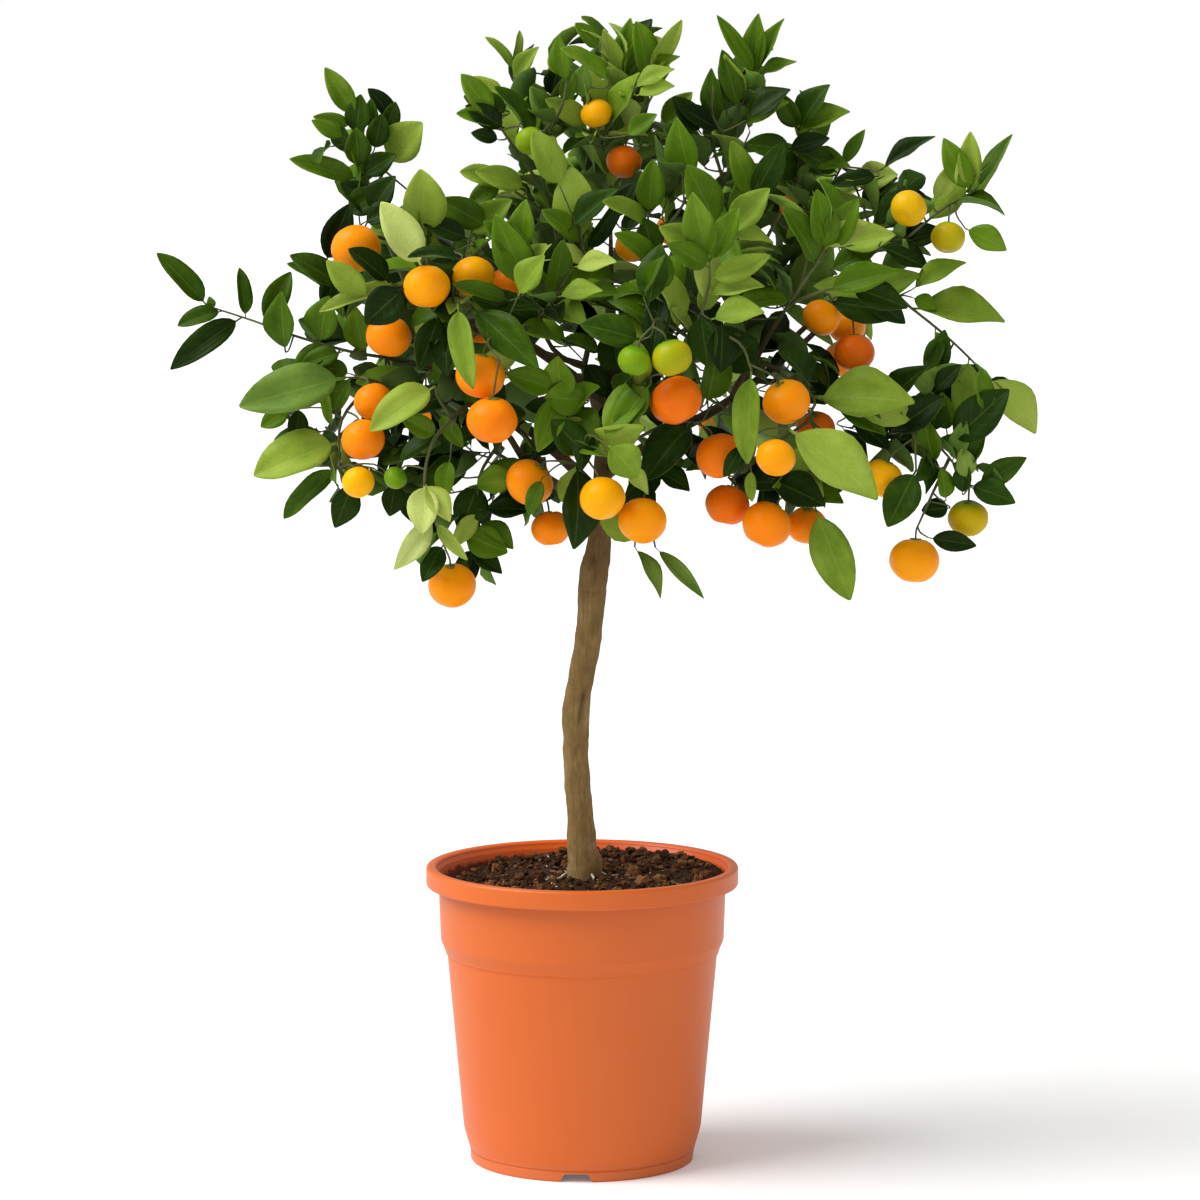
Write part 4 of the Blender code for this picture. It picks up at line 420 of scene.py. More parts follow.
# Leaves on side twigs of their own: x, y, z of the base in cm, then heading, towards, length,
# width and tone as in SHOOTS.
SINGLE_LEAVES = [
    (-15.7, 0, 73.4, 121, 5, 4.0, 1.5, "m"), (-15.6, 0, 72.1, 84, 5, 2.9, 1.6, "n"),
    (-14.4, 0, 72.4, 95, 0, 2.3, 1.0, "n"), (-13.7, 0.5, 72.3, 70, 5, 2.3, 1.3, "n"),
    (-16.4, 0, 70.9, 100, 5, 2.3, 1.2, "n"), (-16.4, -0.5, 72, 152, 10, 2.6, 1.0, "m"),
    (-15.5, -1, 69.9, 92, 5, 2.8, 1.7, "n"), (-15.4, -1, 69.1, 163, 8, 5.0, 1.5, "m"),
    (-15.2, -1, 69.4, 32, 5, 2.8, 1.5, "n"), (-13.8, -1.5, 66.8, 143, 10, 3.6, 1.9, "d"),
    (-16.2, -2, 66.8, 33, 5, 3.0, 1.8, "n"), (-17.6, -4, 63.5, 67, 0, 4.4, 1.9, "d"),
    (-16.4, -5, 61.9, 148, 10, 4.2, 1.7, "n"), (-12.9, -10.2, 62.4, 140, 5, 3.6, 1.9, "d"),
    (-14.3, -9.8, 61.4, 139, 5, 3.8, 1.7, "h"), (-11.8, -13.4, 62.2, 222, 8, 3.5, 2.4, "d"),
    (-9.5, -11.5, 60.4, 249, 10, 4.0, 2.1, "d"), (-8.2, -15, 61.2, 281, 15, 5.8, 1.7, "h"),
    (-7.3, -13, 60.9, 315, 10, 6.5, 2.2, "n"), (-4.8, -12, 61.3, 167, 8, 4.2, 1.2, "n"),
    (-7.9, -14.9, 64.2, 178, 3, 3.6, 1.1, "d"), (-3.8, -5, 68.6, 161, 10, 3.7, 1.6, "h"),
    (-7.6, -9, 65.3, 159, 5, 3.4, 1.5, "d"), (-6.4, -7, 66.1, 150, 10, 3.8, 1.9, "n"),
    (-3.4, -12, 62.1, 115, 10, 5.6, 2.2, "m"), (-4.2, -14, 61.7, 57, 10, 3.3, 1.9, "h"),
    (-20.3, -5, 57.4, 93, 5, 4.2, 2.1, "n"), (20.5, -3, 69.8, 32, 5, 4.4, 1.1, "d"),
    (26.2, -5, 65.9, 332, 5, 3.2, 1.6, "m"), (22.5, -5.5, 61.7, 27, 5, 4.2, 1.4, "m"),
    (20.6, -6, 61.7, 176, 10, 4.9, 1.6, "h"), (19.4, -5, 61.4, 324, 5, 3.4, 1.5, "d"),
    (24, -5, 55.6, 76, 5, 3.5, 1.6, "n"), (11.3, -2, 73.2, 35, 5, 3.7, 2.0, "d"),
    (10.8, -1, 74, 106, 5, 4.2, 1.5, "n"), (8.2, -1.5, 72.3, 128, 5, 3.2, 1.6, "d"),
    (3, -7, 72.2, 35, 10, 2.6, 1.2, "m"), (8.6, -15, 60.2, 8, 8, 3.6, 1.9, "h"),
    (9.4, -13.5, 60, 268, 5, 3.4, 2.1, "d"), (4, -15, 58.8, 165, 5, 4.2, 2.1, "n"),
    (-1.6, -13, 61.6, 8, 8, 3.1, 1.5, "h"), (-19.9, -7, 53.6, 210, 5, 2.3, 1.3, "m"),
    (-19.3, -6.5, 53.8, 265, 5, 2.7, 1.3, "d"), (-16.4, -6, 57.5, 198, 5, 2.9, 1.4, "n"),
    (-17.4, -7.5, 55, 278, 5, 2.4, 0.8, "m"), (-7.4, -9, 48.6, 8, 5, 3.2, 1.9, "m"),
    (-6.8, -8, 46.9, 350, 5, 3.8, 2.2, "d"), (-8.1, -8, 45.2, 338, 5, 3.3, 2.0, "m"),
    (-7.7, -7.5, 44.1, 324, 5, 2.8, 1.3, "d"), (-9.6, -10, 53.6, 305, 5, 2.8, 1.1, "m"),
    (-8.9, -9.5, 50.5, 262, 5, 2.8, 1.4, "m"), (-12.2, -8, 48.2, 290, 5, 2.4, 1.5, "d"),
    (-2.6, -13.2, 49.5, 250, 3, 2.7, 1.1, "m"), (1.8, -17, 52, 312, 2, 2.9, 2.2, "h"),
    (2.6, -15.6, 50.6, 313, 3, 2.7, 1.2, "l"), (9.6, -8, 56.3, 45, 5, 3.2, 2.4, "d"),
    (10.8, -14, 51.9, 240, 2, 2.6, 1.1, "d"), (11.4, -12.2, 50, 272, 0, 2.2, 0.8, "h"),
    (12.6, -11.5, 49.3, 335, 5, 4.2, 2.3, "d"), (1.3, -8, 57.5, 160, 5, 2.8, 1.6, "n"),
    (0.2, -8.5, 57, 300, 5, 2.8, 1.6, "d"), (16.9, -4.5, 60.9, 350, 5, 5.2, 2.2, "d"),
    (24, -6, 54.6, 133, 5, 2.4, 1.5, "g"), (21, -8, 52.1, 35, 5, 4.4, 2.1, "d"),
    (24, -7, 54.8, 46, 5, 2.7, 1.2, "d"), (18.3, -7, 53.1, 320, 5, 3.4, 2.1, "d"),
    (24.1, -7.5, 49.9, 103, 5, 3.4, 1.9, "m"), (25.2, -7, 46.9, 185, 5, 2.0, 1.4, "d"),
    (26.4, -7, 49.6, 66, 5, 3.0, 1.1, "n"), (26.3, -7.4, 48.9, 100, 5, 2.2, 1.4, "g"),
    (-5.2, -5, 74.9, 158, 5, 2.9, 1.2, "h"), (-4.9, -5.5, 73.8, 161, 5, 3.3, 1.6, "n"),
    (-5.2, -6, 72.7, 150, 5, 3.1, 1.5, "d"), (-5.6, -5, 71.9, 166, 5, 2.0, 1.0, "d"),
    (-3.3, -6, 71.8, 125, 8, 4.6, 1.7, "n"), (-1.4, -10, 68.8, 116, 8, 4.3, 2.1, "h"),
    (1.9, -7, 75.9, 146, 8, 4.0, 1.7, "m"), (1.1, -3, 78, 130, 3, 2.4, 1.3, "m"),
    (4.4, -4, 76, 100, 3, 4.0, 2.0, "m"), (3.5, -6, 75.4, 25, 5, 3.1, 1.3, "h"),
    (3.7, -6.5, 74.9, 14, 5, 2.7, 1.3, "h"), (9.1, -10, 66.2, 116, 8, 4.6, 2.4, "m"),
    (8.5, -13, 64.7, 155, 8, 3.7, 1.8, "h"), (9.8, -11, 65.7, 48, 8, 4.2, 1.9, "h"),
    (-0.9, -8, 65.8, 40, 5, 4.5, 1.6, "n"), (4.9, -8, 64.1, 105, 5, 2.7, 1.8, "n"),
    (2.2, -6.5, 66.5, 60, 5, 3.0, 1.7, "d"), (-15.5, -9, 49, 249, 0, 3.5, 1.8, "d"),
    (-15.8, -6, 56, 165, 5, 2.4, 1.3, "n"), (0, -5, 74.6, 85, 5, 2.5, 1.4, "g"),
    (-1.3, -5, 74.4, 72, 5, 2.3, 1.1, "m"), (-2.1, -3, 74.7, 78, 5, 2.4, 1.4, "d"),
    (10, -1, 73.6, 98, 3, 3.6, 1.4, "n"), (24.9, -7, 47.4, 100, 5, 2.3, 1.4, "m"),
    (23.7, -7.5, 44.9, 351, 5, 3.3, 1.3, "d"), (5, -9, 49.6, 330, 5, 2.7, 1.6, "d"),
    (-14.4, 0, 71.1, 78, 5, 2.6, 1.5, "n"), (-10.6, -13.3, 63.6, 122, 2, 5.1, 2.3, "y"),
    (-15, -3, 66.2, 20, 5, 2.6, 1.5, "d"), (-12.7, -9, 48.9, 262, 5, 2.4, 1.6, "d"),
    (-4.8, -7, 47.6, 335, 5, 3.0, 1.6, "d"), (9.4, -1, 72.8, 97, 3, 4.0, 1.4, "n"),
    (20.4, -3, 69.4, 190, 5, 3.4, 1.2, "d"), (27, -7, 48.2, 33, 3, 4.0, 1.5, "n"),
    (25, -6, 52, 98, 5, 2.8, 1.6, "m"), (23.6, -6, 52, 60, 5, 2.5, 1.5, "n"),
    (26, -7, 47.8, 85, 5, 2.4, 1.2, "n"), (21.9, -7, 51, 20, 5, 2.4, 1.4, "d"),
    (-14.5, -2.5, 66.7, 58, 5, 3.2, 1.9, "d"), (4.6, -15, 55.9, 232, 5, 3.8, 1.9, "m"),
    (0.5, -12, 54.6, 175, 5, 3.0, 2.2, "m"), (0.4, -13, 51, 135, 5, 3.4, 2.1, "n"),
    (20.8, -6.5, 51.5, 30, 5, 2.8, 1.8, "d"), (17.6, -4, 64.6, 12, 5, 4.0, 1.9, "h"),
    (14.6, -1, 71, 170, 5, 3.4, 1.7, "n"), (14.2, -1, 71.2, 15, 5, 3.0, 1.3, "d"),
    (17, -4, 63, 22, 5, 3.4, 1.7, "n"), (24.1, -4, 67.6, 62, 5, 3.3, 1.3, "l"),
    (20.3, -5, 64.7, 335, 5, 3.8, 1.9, "d"), (22.6, -5.5, 61.2, 335, 5, 1.8, 1.1, "m"),
]

# Tufts deep in the crown, between the shoots: x, y, z in cm.
DEEP_TUFTS = [
    (-15.5, -2, 58), (-12.5, -3, 55.5), (-13.5, -1, 52.5), (-10, -5, 55), (-11.5, -6, 51.5),
    (-9.5, -4, 49.5), (-12.5, -4.5, 48.5), (-8, -7, 47), (-6.5, -4.5, 50.5), (-10.5, 2, 53),
    (-17.5, -4, 52), (-18, -4, 55), (-6, 2, 48.5), (-3, -3, 47.5), (-15, -6, 62), (-17.5, -3, 66),
    (-9.8, -4.5, 64.5), (-10.2, -5, 68.2), (-18, -1, 71.5), (-4.5, -1, 75), (-1.5, 0, 76.5),
    (-1.5, -6, 61.5), (0, -4, 58.5), (4, -8, 50), (3.5, -5, 47), (7, -4, 50.5), (12.5, -5, 48.5),
    (15.5, -4, 48), (12, -4, 57.5), (14.5, -5, 57), (9.5, -6, 60.5), (7, -7, 61), (20.5, -6, 55.5),
    (23, -5, 54.5), (26, -5.5, 55), (23.5, -6.5, 51.5), (26, -6, 50), (26.5, -6.5, 47.5),
    (20, -4, 62.5), (21, -1, 67.5), (16.5, 0, 69.5), (18.5, 1, 67), (23.5, -3.5, 70.5),
    (12.5, 0.5, 76), (2.5, -1, 78), (-17, -3, 49.5), (10.5, 3, 52.5), (16.5, -8, 48.5),
    (-7, -6, 44.5), (8.5, 1, 70), (5.5, -5, 67), (6, -5, 69), (-0.5, -7, 58), (-3, -6, 51),
    (-5.5, -6.5, 53), (-7.5, -6.5, 55), (-8.5, -6, 51.5), (-4, -5, 49.5), (-6, -5, 47.5),
    (6, -5.5, 52.5), (9, -6, 54), (12, -7, 55), (2.5, -8, 54.5), (3, -9, 56.5), (-15, 1, 71.5),
    (-16, -3, 65.5), (-15.5, -2, 67.5), (-16, -4, 47), (16.5, 0, 73), (19.5, 0, 68.5),
    (19.5, -3, 65.5), (19.5, -5, 60), (15.5, -6, 57.5), (17, -5, 54.5), (17.5, -5, 52.5),
    (20.5, -6, 51), (10, -7, 49), (-14, 5, 60), (-10, 5, 57.5), (-6, 5.5, 60.5), (-2, 5, 63),
    (2.5, 6, 64), (6.5, 5.5, 61), (10.5, 5, 64), (15, 5, 60.5), (-12, 6, 64.5), (-8, 4.5, 66.5),
    (-3.5, 6, 68), (1, 7, 69), (6, 6, 68), (13, 6, 67), (17, 5, 64.5), (-5, 6, 72),
    (0.5, 4.5, 73.5), (5, 6.5, 73), (9.5, 4.5, 72.5), (-5, 7.5, 55), (4.5, 6, 56), (10, 6.5, 57.5),
    (14.5, 6, 54.5), (-12.5, 6, 54), (0, 4, 59), (3, 3.5, 75.5), (-8.5, 8.5, 62.5), (8, 9, 65.5),
    (4, 10.5, 69), (-1.5, 9, 65.5), (12.5, 8.5, 61.5), (-3, 10, 60), (5.5, 9.5, 60.5),
    (-6.5, 9.5, 67.5), (10, 9, 69.5),
]
# Where the crown lets light through, seen from the front: x, z and radius in cm.
LIGHT_GAPS = [
    (8.3, 77, 1.2), (-12.5, 75, 2.6), (-9.9, 75.5, 2.4), (-11.3, 70.6, 1.7), (-6.6, 69.2, 1),
    (18.9, 73.4, 1.4), (20.4, 72.2, 2), (4.6, 41.5, 2.8), (-19.6, 66.6, 2.2), (-7.4, 77.4, 1.3),
    (-2.6, 79.1, 0.8), (7.6, 77.4, 0.9), (30.5, 69, 2), (29.5, 57.8, 1.5), (1.9, 65.5, 0.8),
    (0.2, 56.5, 0.6), (8.2, 52.7, 0.8), (-7.1, 46.7, 0.8), (-2.9, 71.1, 0.6), (-15, 75.8, 1.3),
    (-20.2, 71.8, 1.3), (-12.7, 68.7, 0.9), (-8.4, 68.3, 1.1), (-7.8, 71.1, 1), (27.4, 62.4, 1.3),
    (21.8, 57.3, 1.5), (20.4, 45.3, 1.6), (-4.7, 43.9, 0.8), (6.8, 47.6, 0.8), (15.2, 77.1, 1),
    (13.8, 75.3, 0.8), (25.3, 71.8, 0.8), (-5.6, 70.8, 0.8), (-21.5, 47.6, 1.2),
    (-18.5, 45.9, 1.3), (-15.6, 45.2, 1.3), (31.2, 47, 1.5), (30, 44.8, 1.5), (19.5, 44.9, 1.2),
    (-5.6, 77.6, 0.9), (29.8, 56.4, 1), (22.4, 45.5, 1.1), (-14.2, 46.5, 1), (-2.2, 56.5, 0.9),
    (0.1, 55.4, 0.5), (-6.6, 48.9, 0.8), (9.4, 53.5, 0.6), (-18.4, 53.1, 0.7), (-9.5, 43.4, 0.6),
    (8.8, 69.9, 0.5), (5.6, 74.3, 0.8), (6.9, 73.6, 0.6), (11.2, 72, 0.6), (13.4, 73.2, 0.6),
    (24.3, 69.9, 0.6), (29, 52.3, 0.6), (1.2, 64.2, 0.7), (12.5, 54, 0.7), (18.5, 76.3, 1),
    (22.2, 62.2, 1.1), (-17.8, 74.4, 0.8), (-18.4, 71.5, 0.5), (-19.2, 69, 0.8), (28.3, 50.3, 0.6),
    (9.7, 77.7, 0.5), (14, 78.6, 0.7),
]

# Ripeness of each fruit, from green 0 to deep orange 1.
RIPENESS = [
    0.76, 0.66, 0.58, 0.8, 0.76, 0.8, 0.52, 0.06, 0.78, 0.84, 0.72, 0.76, 0.82, 0.58, 0.7, 0.1,
    0.24, 0.94, 0.88, 0.66, 0.74, 0.92, 0.8, 0.8, 0.54, 0.34, 0.66, 0.96, 0.4, 0.3, 0.92, 0.78,
    0.7, 0.84,
]
# More fruits, deeper in the crown: centre x, y, z and width in cm, and ripeness.
INNER_FRUITS = [
    (-5.1, -7, 62.3, 2.31, 0.84), (16, -6, 52.2, 2.6, 0.94), (18.3, -2, 59, 2.49, 0.72),
    (16.4, -5, 59.8, 2.53, 0.74), (3.4, -6, 64.7, 2.19, 0.7), (1, -5, 73.7, 2.06, 0.52),
    (-1.5, -4, 77.2, 1.65, 0.12), (-3.5, -8, 71.9, 1.9, 0.14), (14.7, 2, 67.2, 1.82, 0.88),
    (-8, 15, 57.5, 2.9, 0.8), (-1.5, 17, 49.5, 2.7, 0.66), (10, 17, 50.5, 2.9, 0.78),
    (16, 12.5, 62, 2.5, 0.86), (-14.5, 12.5, 60.5, 2.6, 0.6), (6.5, 16, 65, 2.4, 0.74),
]
FLATNESS = 0.9                   # a fruit's height over its width
FRUIT_SWELL = 1.05               # a peel's width over its solid's
STALK_RADII = (0.08, 0.07)

# ---------------------------------------------------------------- shader values


def ink(code):
    """A colour written as six hexadecimal digits, as the linear numbers that a socket takes."""
    parts = [int(code[i:i + 2], 16) / 255.0 for i in (0, 2, 4)]
    linear = [p / 12.92 if p <= 0.04045 else ((p + 0.055) / 1.055) ** 2.4 for p in parts]
    return (*linear, 1.0)


class Wire:
    """One value in a shader. Arithmetic on it adds Math nodes."""

    def __init__(self, finish, socket):
        self.finish = finish
        self.socket = socket

    def math(self, operation, *values):
        return self.finish.add("ShaderNodeMath", {"operation": operation}, dict(enumerate(values)))

    def __add__(self, other):
        return self.math("ADD", self, other)

    def __radd__(self, other):
        return self.math("ADD", other, self)

    def __sub__(self, other):
        return self.math("SUBTRACT", self, other)

    def __rsub__(self, other):
        return self.math("SUBTRACT", other, self)

    def __mul__(self, other):
        return self.math("MULTIPLY", self, other)

    def __abs__(self):
        return self.math("ABSOLUTE", self)

    def fraction(self):
        return self.math("FRACT", self)

    def rise(self, low, high):
        """0 below low, 1 above high and smooth between them."""
        return self.finish.add("ShaderNodeMapRange", {"interpolation_type": "SMOOTHSTEP"},
                               {"Value": self, "From Min": low, "From Max": high})


class Finish:
    """A node tree, for a material or the world, that is filled by add()."""

    def __init__(self, tree):
        self.tree = tree

    def add(self, kind, settings=None, inputs=None, output=0):
        node = self.tree.nodes.new(kind)
        for key, value in (settings or {}).items():
            if key == "stops":
                self.set_stops(node.color_ramp, value)
            else:
                setattr(node, key, value)
        for key, value in (inputs or {}).items():
            self.feed(node.inputs[key], value)
        return Wire(self, node.outputs[output])

    def feed(self, socket, value):
        if isinstance(value, Wire):
            self.tree.links.new(value.socket, socket)
        else:
            socket.default_value = value

    def set_stops(self, ramp, stops):
        ramp.elements[0].position, ramp.elements[0].color = stops[0]
        ramp.elements[1].position, ramp.elements[1].color = stops[-1]
        for position, colour in stops[1:-1]:
            element = ramp.elements.new(position)
            element.color = colour

    def place(self, stretch=(1.0, 1.0, 1.0)):
        """Where a point is on the plant, in metres, stretched."""
        at = self.add("ShaderNodeTexCoord", output="Object")
        return self.add("ShaderNodeMapping", inputs={"Vector": at, "Scale": stretch})

    def split(self, vector):
        """The three parts of a vector."""
        first = self.add("ShaderNodeSeparateXYZ", inputs={0: vector})
        return [Wire(self, socket) for socket in first.socket.node.outputs]

    def attribute(self, name):
        """The three parts of a mesh attribute."""
        settings = {"attribute_name": name}
        return self.split(self.add("ShaderNodeAttribute", settings, output="Vector"))

    def noise(self, place, scale, detail=3.0, rough=0.55):
        return self.add("ShaderNodeTexNoise", {},
                        {"Vector": place, "Scale": scale, "Detail": detail, "Roughness": rough})

    def cells(self, place, scale, feature="F1"):
        return self.add("ShaderNodeTexVoronoi", {"feature": feature},
                        {"Vector": place, "Scale": scale}, output="Distance")

    def ramp(self, value, stops):
        """A colour for each value, from (position, colour code) pairs."""
        coloured = [(position, ink(code)) for position, code in stops]
        return self.add("ShaderNodeValToRGB", {"stops": coloured}, {"Fac": value})

    def mix(self, share, first, second, blend="MIX"):
        return self.add("ShaderNodeMix", {"data_type": "RGBA", "blend_type": blend},
                        {0: share, 6: first, 7: second}, output=2)

    def bump(self, height, strength, distance):
        return self.add("ShaderNodeBump", {},
                        {"Height": height, "Strength": strength, "Distance": distance}, "Normal")


def new_material(name, roughness=0.5, specular=0.5):
    """A material, its node tree and its shader's sockets."""
    material = bpy.data.materials.new(name)
    material.use_nodes = True
    shader = material.node_tree.nodes["Principled BSDF"]
    shader.inputs["Roughness"].default_value = roughness
    shader.inputs["Specular IOR Level"].default_value = specular
    return material, Finish(material.node_tree), shader.inputs


def waxy_leaf():
    """Upper side glossy green by tone, with pale midrib and veins; underside paler and matt."""
    material, f, shader = new_material("waxy_leaf", specular=0.09)
    tone, under, grey = f.attribute("leaf_tone")
    u, v, _ = f.split(f.add("ShaderNodeTexCoord", output="UV"))
    across = abs(u - 0.5) * 2.0
    place = f.place()
    mottle = f.noise(place, 55.0)
    fine = f.noise(place, 700.0, detail=2.0)
    age = tone + (mottle - 0.5) * 0.22 + (v - 0.5) * 0.05
    # The pale stops are whitened a little, as painted sheen.
    green = f.ramp(age, [(0.0, "0C1C00"), (0.2, "274302"), (0.42, "5C7F0E"), (0.6, "98B03E"),
                         (0.8, "BBCB64"), (1.0, "D8E48A")])
    # Grey-green mixed in by the grey channel is painted sheen.
    green = f.mix(grey * 0.35, green, ink("5F8050"))
    green = f.mix((fine - 0.5) * 0.35 + 0.1, green, ink("1A3604"))
    midrib = 1.0 - across.rise(0.02, 0.08)
    slant = (v * 8.0 - across * 1.6).fraction()
    veins = (1.0 - abs(slant - 0.5).rise(0.02, 0.12)) * (1.0 - across.rise(0.75, 0.95))
    edge = across.rise(0.93, 1.0)
    pale = f.mix(0.5, green, ink("B4CB62"))
    colour = f.mix((midrib * 0.30 + veins * 0.07 + edge * 0.2) * (age + 0.35), green, pale)
    colour = f.mix(under * 0.72, colour, f.mix(0.40, green, ink("87A85A")))
    f.feed(shader["Base Color"], colour)
    f.feed(shader["Roughness"], 0.33 + under * 0.25 + mottle * 0.14)
    height = fine * 0.25 - midrib * 0.7 - veins * 0.35 + mottle * 0.4
    f.feed(shader["Normal"], f.bump(height, 0.35, 0.5 * MM))
    return material


def green_twig():
    """Young wood: olive green, browner with age, with fine length lines."""
    material, f, shader = new_material("green_twig", roughness=0.6)
    place = f.place()
    patches = f.noise(place, 90.0)
    lines = f.noise(f.place((1.0, 1.0, 0.25)), 900.0)
    colour = f.ramp(patches, [(0.3, "3A421A"), (0.5, "4F5A24"), (0.7, "625F34")])
    f.feed(shader["Base Color"], f.mix(lines * 0.4, colour, ink("3E3A1C")))
    f.feed(shader["Normal"], f.bump(lines, 0.4, 0.3 * MM))
    return material


def bark():
    """Old wood: olive brown with grey patches, fine length fissures and pale pores, and painted
    shade that darkens it up under the crown and inside it.
    """
    material, f, shader = new_material("fissured_bark", roughness=0.85, specular=0.25)
    place = f.place()
    patches = f.noise(place, 38.0, detail=4.0)
    streaks = f.noise(f.place((1.0, 1.0, 0.12)), 420.0, detail=5.0, rough=0.7)
    scales = f.cells(f.place((1.0, 1.0, 0.2)), 330.0, "DISTANCE_TO_EDGE")
    crack = (1.0 - scales.rise(0.0, 0.14)) * patches.rise(0.35, 0.6)
    pores = 1.0 - f.cells(f.place((1.0, 1.0, 2.2)), 170.0).rise(0.08, 0.2)
    moss = f.noise(place, 26.0)
    scar, _, _ = f.attribute("scar")
    _, _, height = f.split(place)
    colour = f.ramp(patches, [(0.28, "7A6038"), (0.45, "957747"), (0.6, "A98B5A"),
                              (0.75, "BDA47A")])
    dark = ink("4A3820")
    colour = f.mix(streaks.rise(0.35, 0.7) * 0.6 + 0.4, f.mix(0.55, colour, dark), colour)
    colour = f.mix(crack * 0.18, colour, dark)
    colour = f.mix(pores * 0.10, colour, ink("B8A27A"))
    colour = f.mix(moss.rise(0.5, 0.68) * 0.35, colour, ink("6E6430"))
    colour = f.mix(scar * 0.75, colour, ink("3E2C14"))
    # Painted shade: darker from 37 to 44 cm up, under the crown, and darker still from 45 cm up,
    # inside it.
    colour = f.mix(height.rise(0.37, 0.44) * 0.7, colour, ink("563A1A"))
    colour = f.mix(height.rise(0.45, 0.52) * 0.8, colour, ink("33301A"))
    f.feed(shader["Base Color"], colour)
    f.feed(shader["Roughness"], 0.72 + streaks * 0.25)
    f.feed(shader["Normal"], f.bump(streaks * 0.8 + patches * 0.5 - crack * 0.4, 0.8, 0.9 * MM))
    return material


def pored_peel():
    """Citrus peel by ripeness, greener round the stalk, with oil pores and a soft gloss."""
    material, f, shader = new_material("pored_peel", specular=0.13)
    ripe, height, _ = f.attribute("peel")
    place = f.place()
    blotch = f.noise(place, 48.0)
    pores = f.cells(place, 780.0)
    green_cap = height.rise(0.72, 1.0) * (1.0 - ripe) * 0.35
    colour = f.ramp(ripe + (blotch - 0.5) * 0.2 - green_cap,
                    [(0.0, "568A08"), (0.16, "86A20A"), (0.34, "C6A808"), (0.5, "FFB800"),
                     (0.66, "FFA200"), (0.82, "FC8602"), (1.0, "EC6404")])
    dots = 1.0 - pores.rise(0.1, 0.45)
    colour = f.mix(dots * 0.25, colour, f.mix(0.5, colour, ink("B84A00")))
    f.feed(shader["Base Color"], colour)
    f.feed(shader["Roughness"], 0.30 + blotch * 0.12)
    f.feed(shader["Normal"], f.bump(pores + blotch * 0.6, 0.3, 0.35 * MM))
    return material


def calyx_green():
    """The dry green star at a fruit's stalk."""
    material, f, shader = new_material("calyx_green", roughness=0.6)
    patches = f.noise(f.place(), 500.0)
    f.feed(shader["Base Color"], f.ramp(patches, [(0.3, "4F6A1E"), (0.6, "7F8A3A")]))
    return material


def satin_terracotta():
    """Injection-moulded orange plastic: satin, faintly flecked, with soil smear and painted shade
    low inside the lip, by the compost, and the inner wall painted a deeper orange for the light
    bounced inside the pot.
    """
    material, f, shader = new_material("satin_terracotta_plastic")
    place = f.place()
    _, _, z = f.split(place)
    inner, _, _ = f.attribute("inner_wall")
    cloud = f.noise(place, 9.0, detail=2.0)
    flecks = f.noise(place, 1500.0, detail=2.0)
    scuffs = f.noise(f.place((1.0, 1.0, 6.0)), 70.0, detail=5.0, rough=0.7).rise(0.62, 0.78)
    colour = f.mix(cloud, ink("D55E0D"), ink("DE6B16"))
    colour = f.mix((flecks - 0.5) * 0.25 + 0.1, colour, ink("B84A10"))
    colour = f.mix(scuffs * 0.10, colour, ink("F0A578"))
    inside = inner.rise(0.2, 0.7)
    # Low on the inner wall, by the compost, a patchy dark band: soil smear and painted shade.
    low = 1.0 - z.rise(0.196, 0.209)
    dirt = f.noise(place, 120.0, detail=5.0, rough=0.7)
    soil_smear_and_shade = inside * (low * 0.9 + dirt - 0.75).rise(0.25, 0.55)
    # Painted light: the inner wall gets a deeper, brighter orange for the light bounced round
    # inside the pot.
    colour = f.mix(inside * 0.7, colour, ink("FF6408"))
    colour = f.mix(soil_smear_and_shade * 0.85, colour, ink("3A2115"))
    dust = (1.0 - z.rise(0.004, 0.016)) * dirt * 0.4
    colour = f.mix(dust, colour, ink("B07858"))
    f.feed(shader["Base Color"], colour)
    f.feed(shader["Roughness"], 0.40 + cloud * 0.08 + soil_smear_and_shade * 0.4 + scuffs * 0.12)
    f.feed(shader["Normal"], f.bump(flecks * 0.5 + f.noise(place, 240.0), 0.10, 0.25 * MM))
    return material


def compost(name, dark, middle, light):
    """Damp crumbly compost in three browns, by the crumb's own tone and fine grain."""
    material, f, shader = new_material(name, roughness=0.95, specular=0.2)
    tone, _, _ = f.attribute("crumb_tone")
    place = f.place()
    grain = f.noise(place, 380.0, detail=5.0, rough=0.7)
    colour = f.ramp(tone * 0.6 + grain * 0.5 - 0.05, [(0.15, dark), (0.5, middle), (0.9, light)])
    f.feed(shader["Base Color"], colour)
    f.feed(shader["Normal"], f.bump(grain, 0.9, 1.2 * MM))
    return material


def plain_grain(name, first, second, scale, roughness):
    """Two colours in a fine grain, for small things in the compost."""
    material, f, shader = new_material(name, roughness=roughness)
    grain = f.noise(f.place(), scale)
    f.feed(shader["Base Color"], f.ramp(grain, [(0.3, first), (0.7, second)]))
    f.feed(shader["Normal"], f.bump(grain, 0.5, 0.5 * MM))
    return material


# ---------------------------------------------------------------- modelling by hand


def take(piece):
    """Select one object alone and make it active."""
    bpy.ops.object.select_all(action="DESELECT")
    piece.select_set(True)
    bpy.context.view_layer.objects.active = piece


def edit(piece):
    """Open a piece in edit mode with nothing selected."""
    take(piece)
    bpy.ops.object.mode_set(mode="EDIT")
    bpy.context.tool_settings.mesh_select_mode = (True, False, False)
    bpy.ops.mesh.select_all(action="DESELECT")


def pick(piece, test):
    """Select, in edit mode, the vertices whose place passes a test."""
    shape = bmesh.from_edit_mesh(piece.data)
    for corner in shape.verts:
        corner.select_set(test(corner.co))
    shape.select_flush_mode()
    bmesh.update_edit_mesh(piece.data)


def close_edit():
    bpy.ops.object.mode_set(mode="OBJECT")


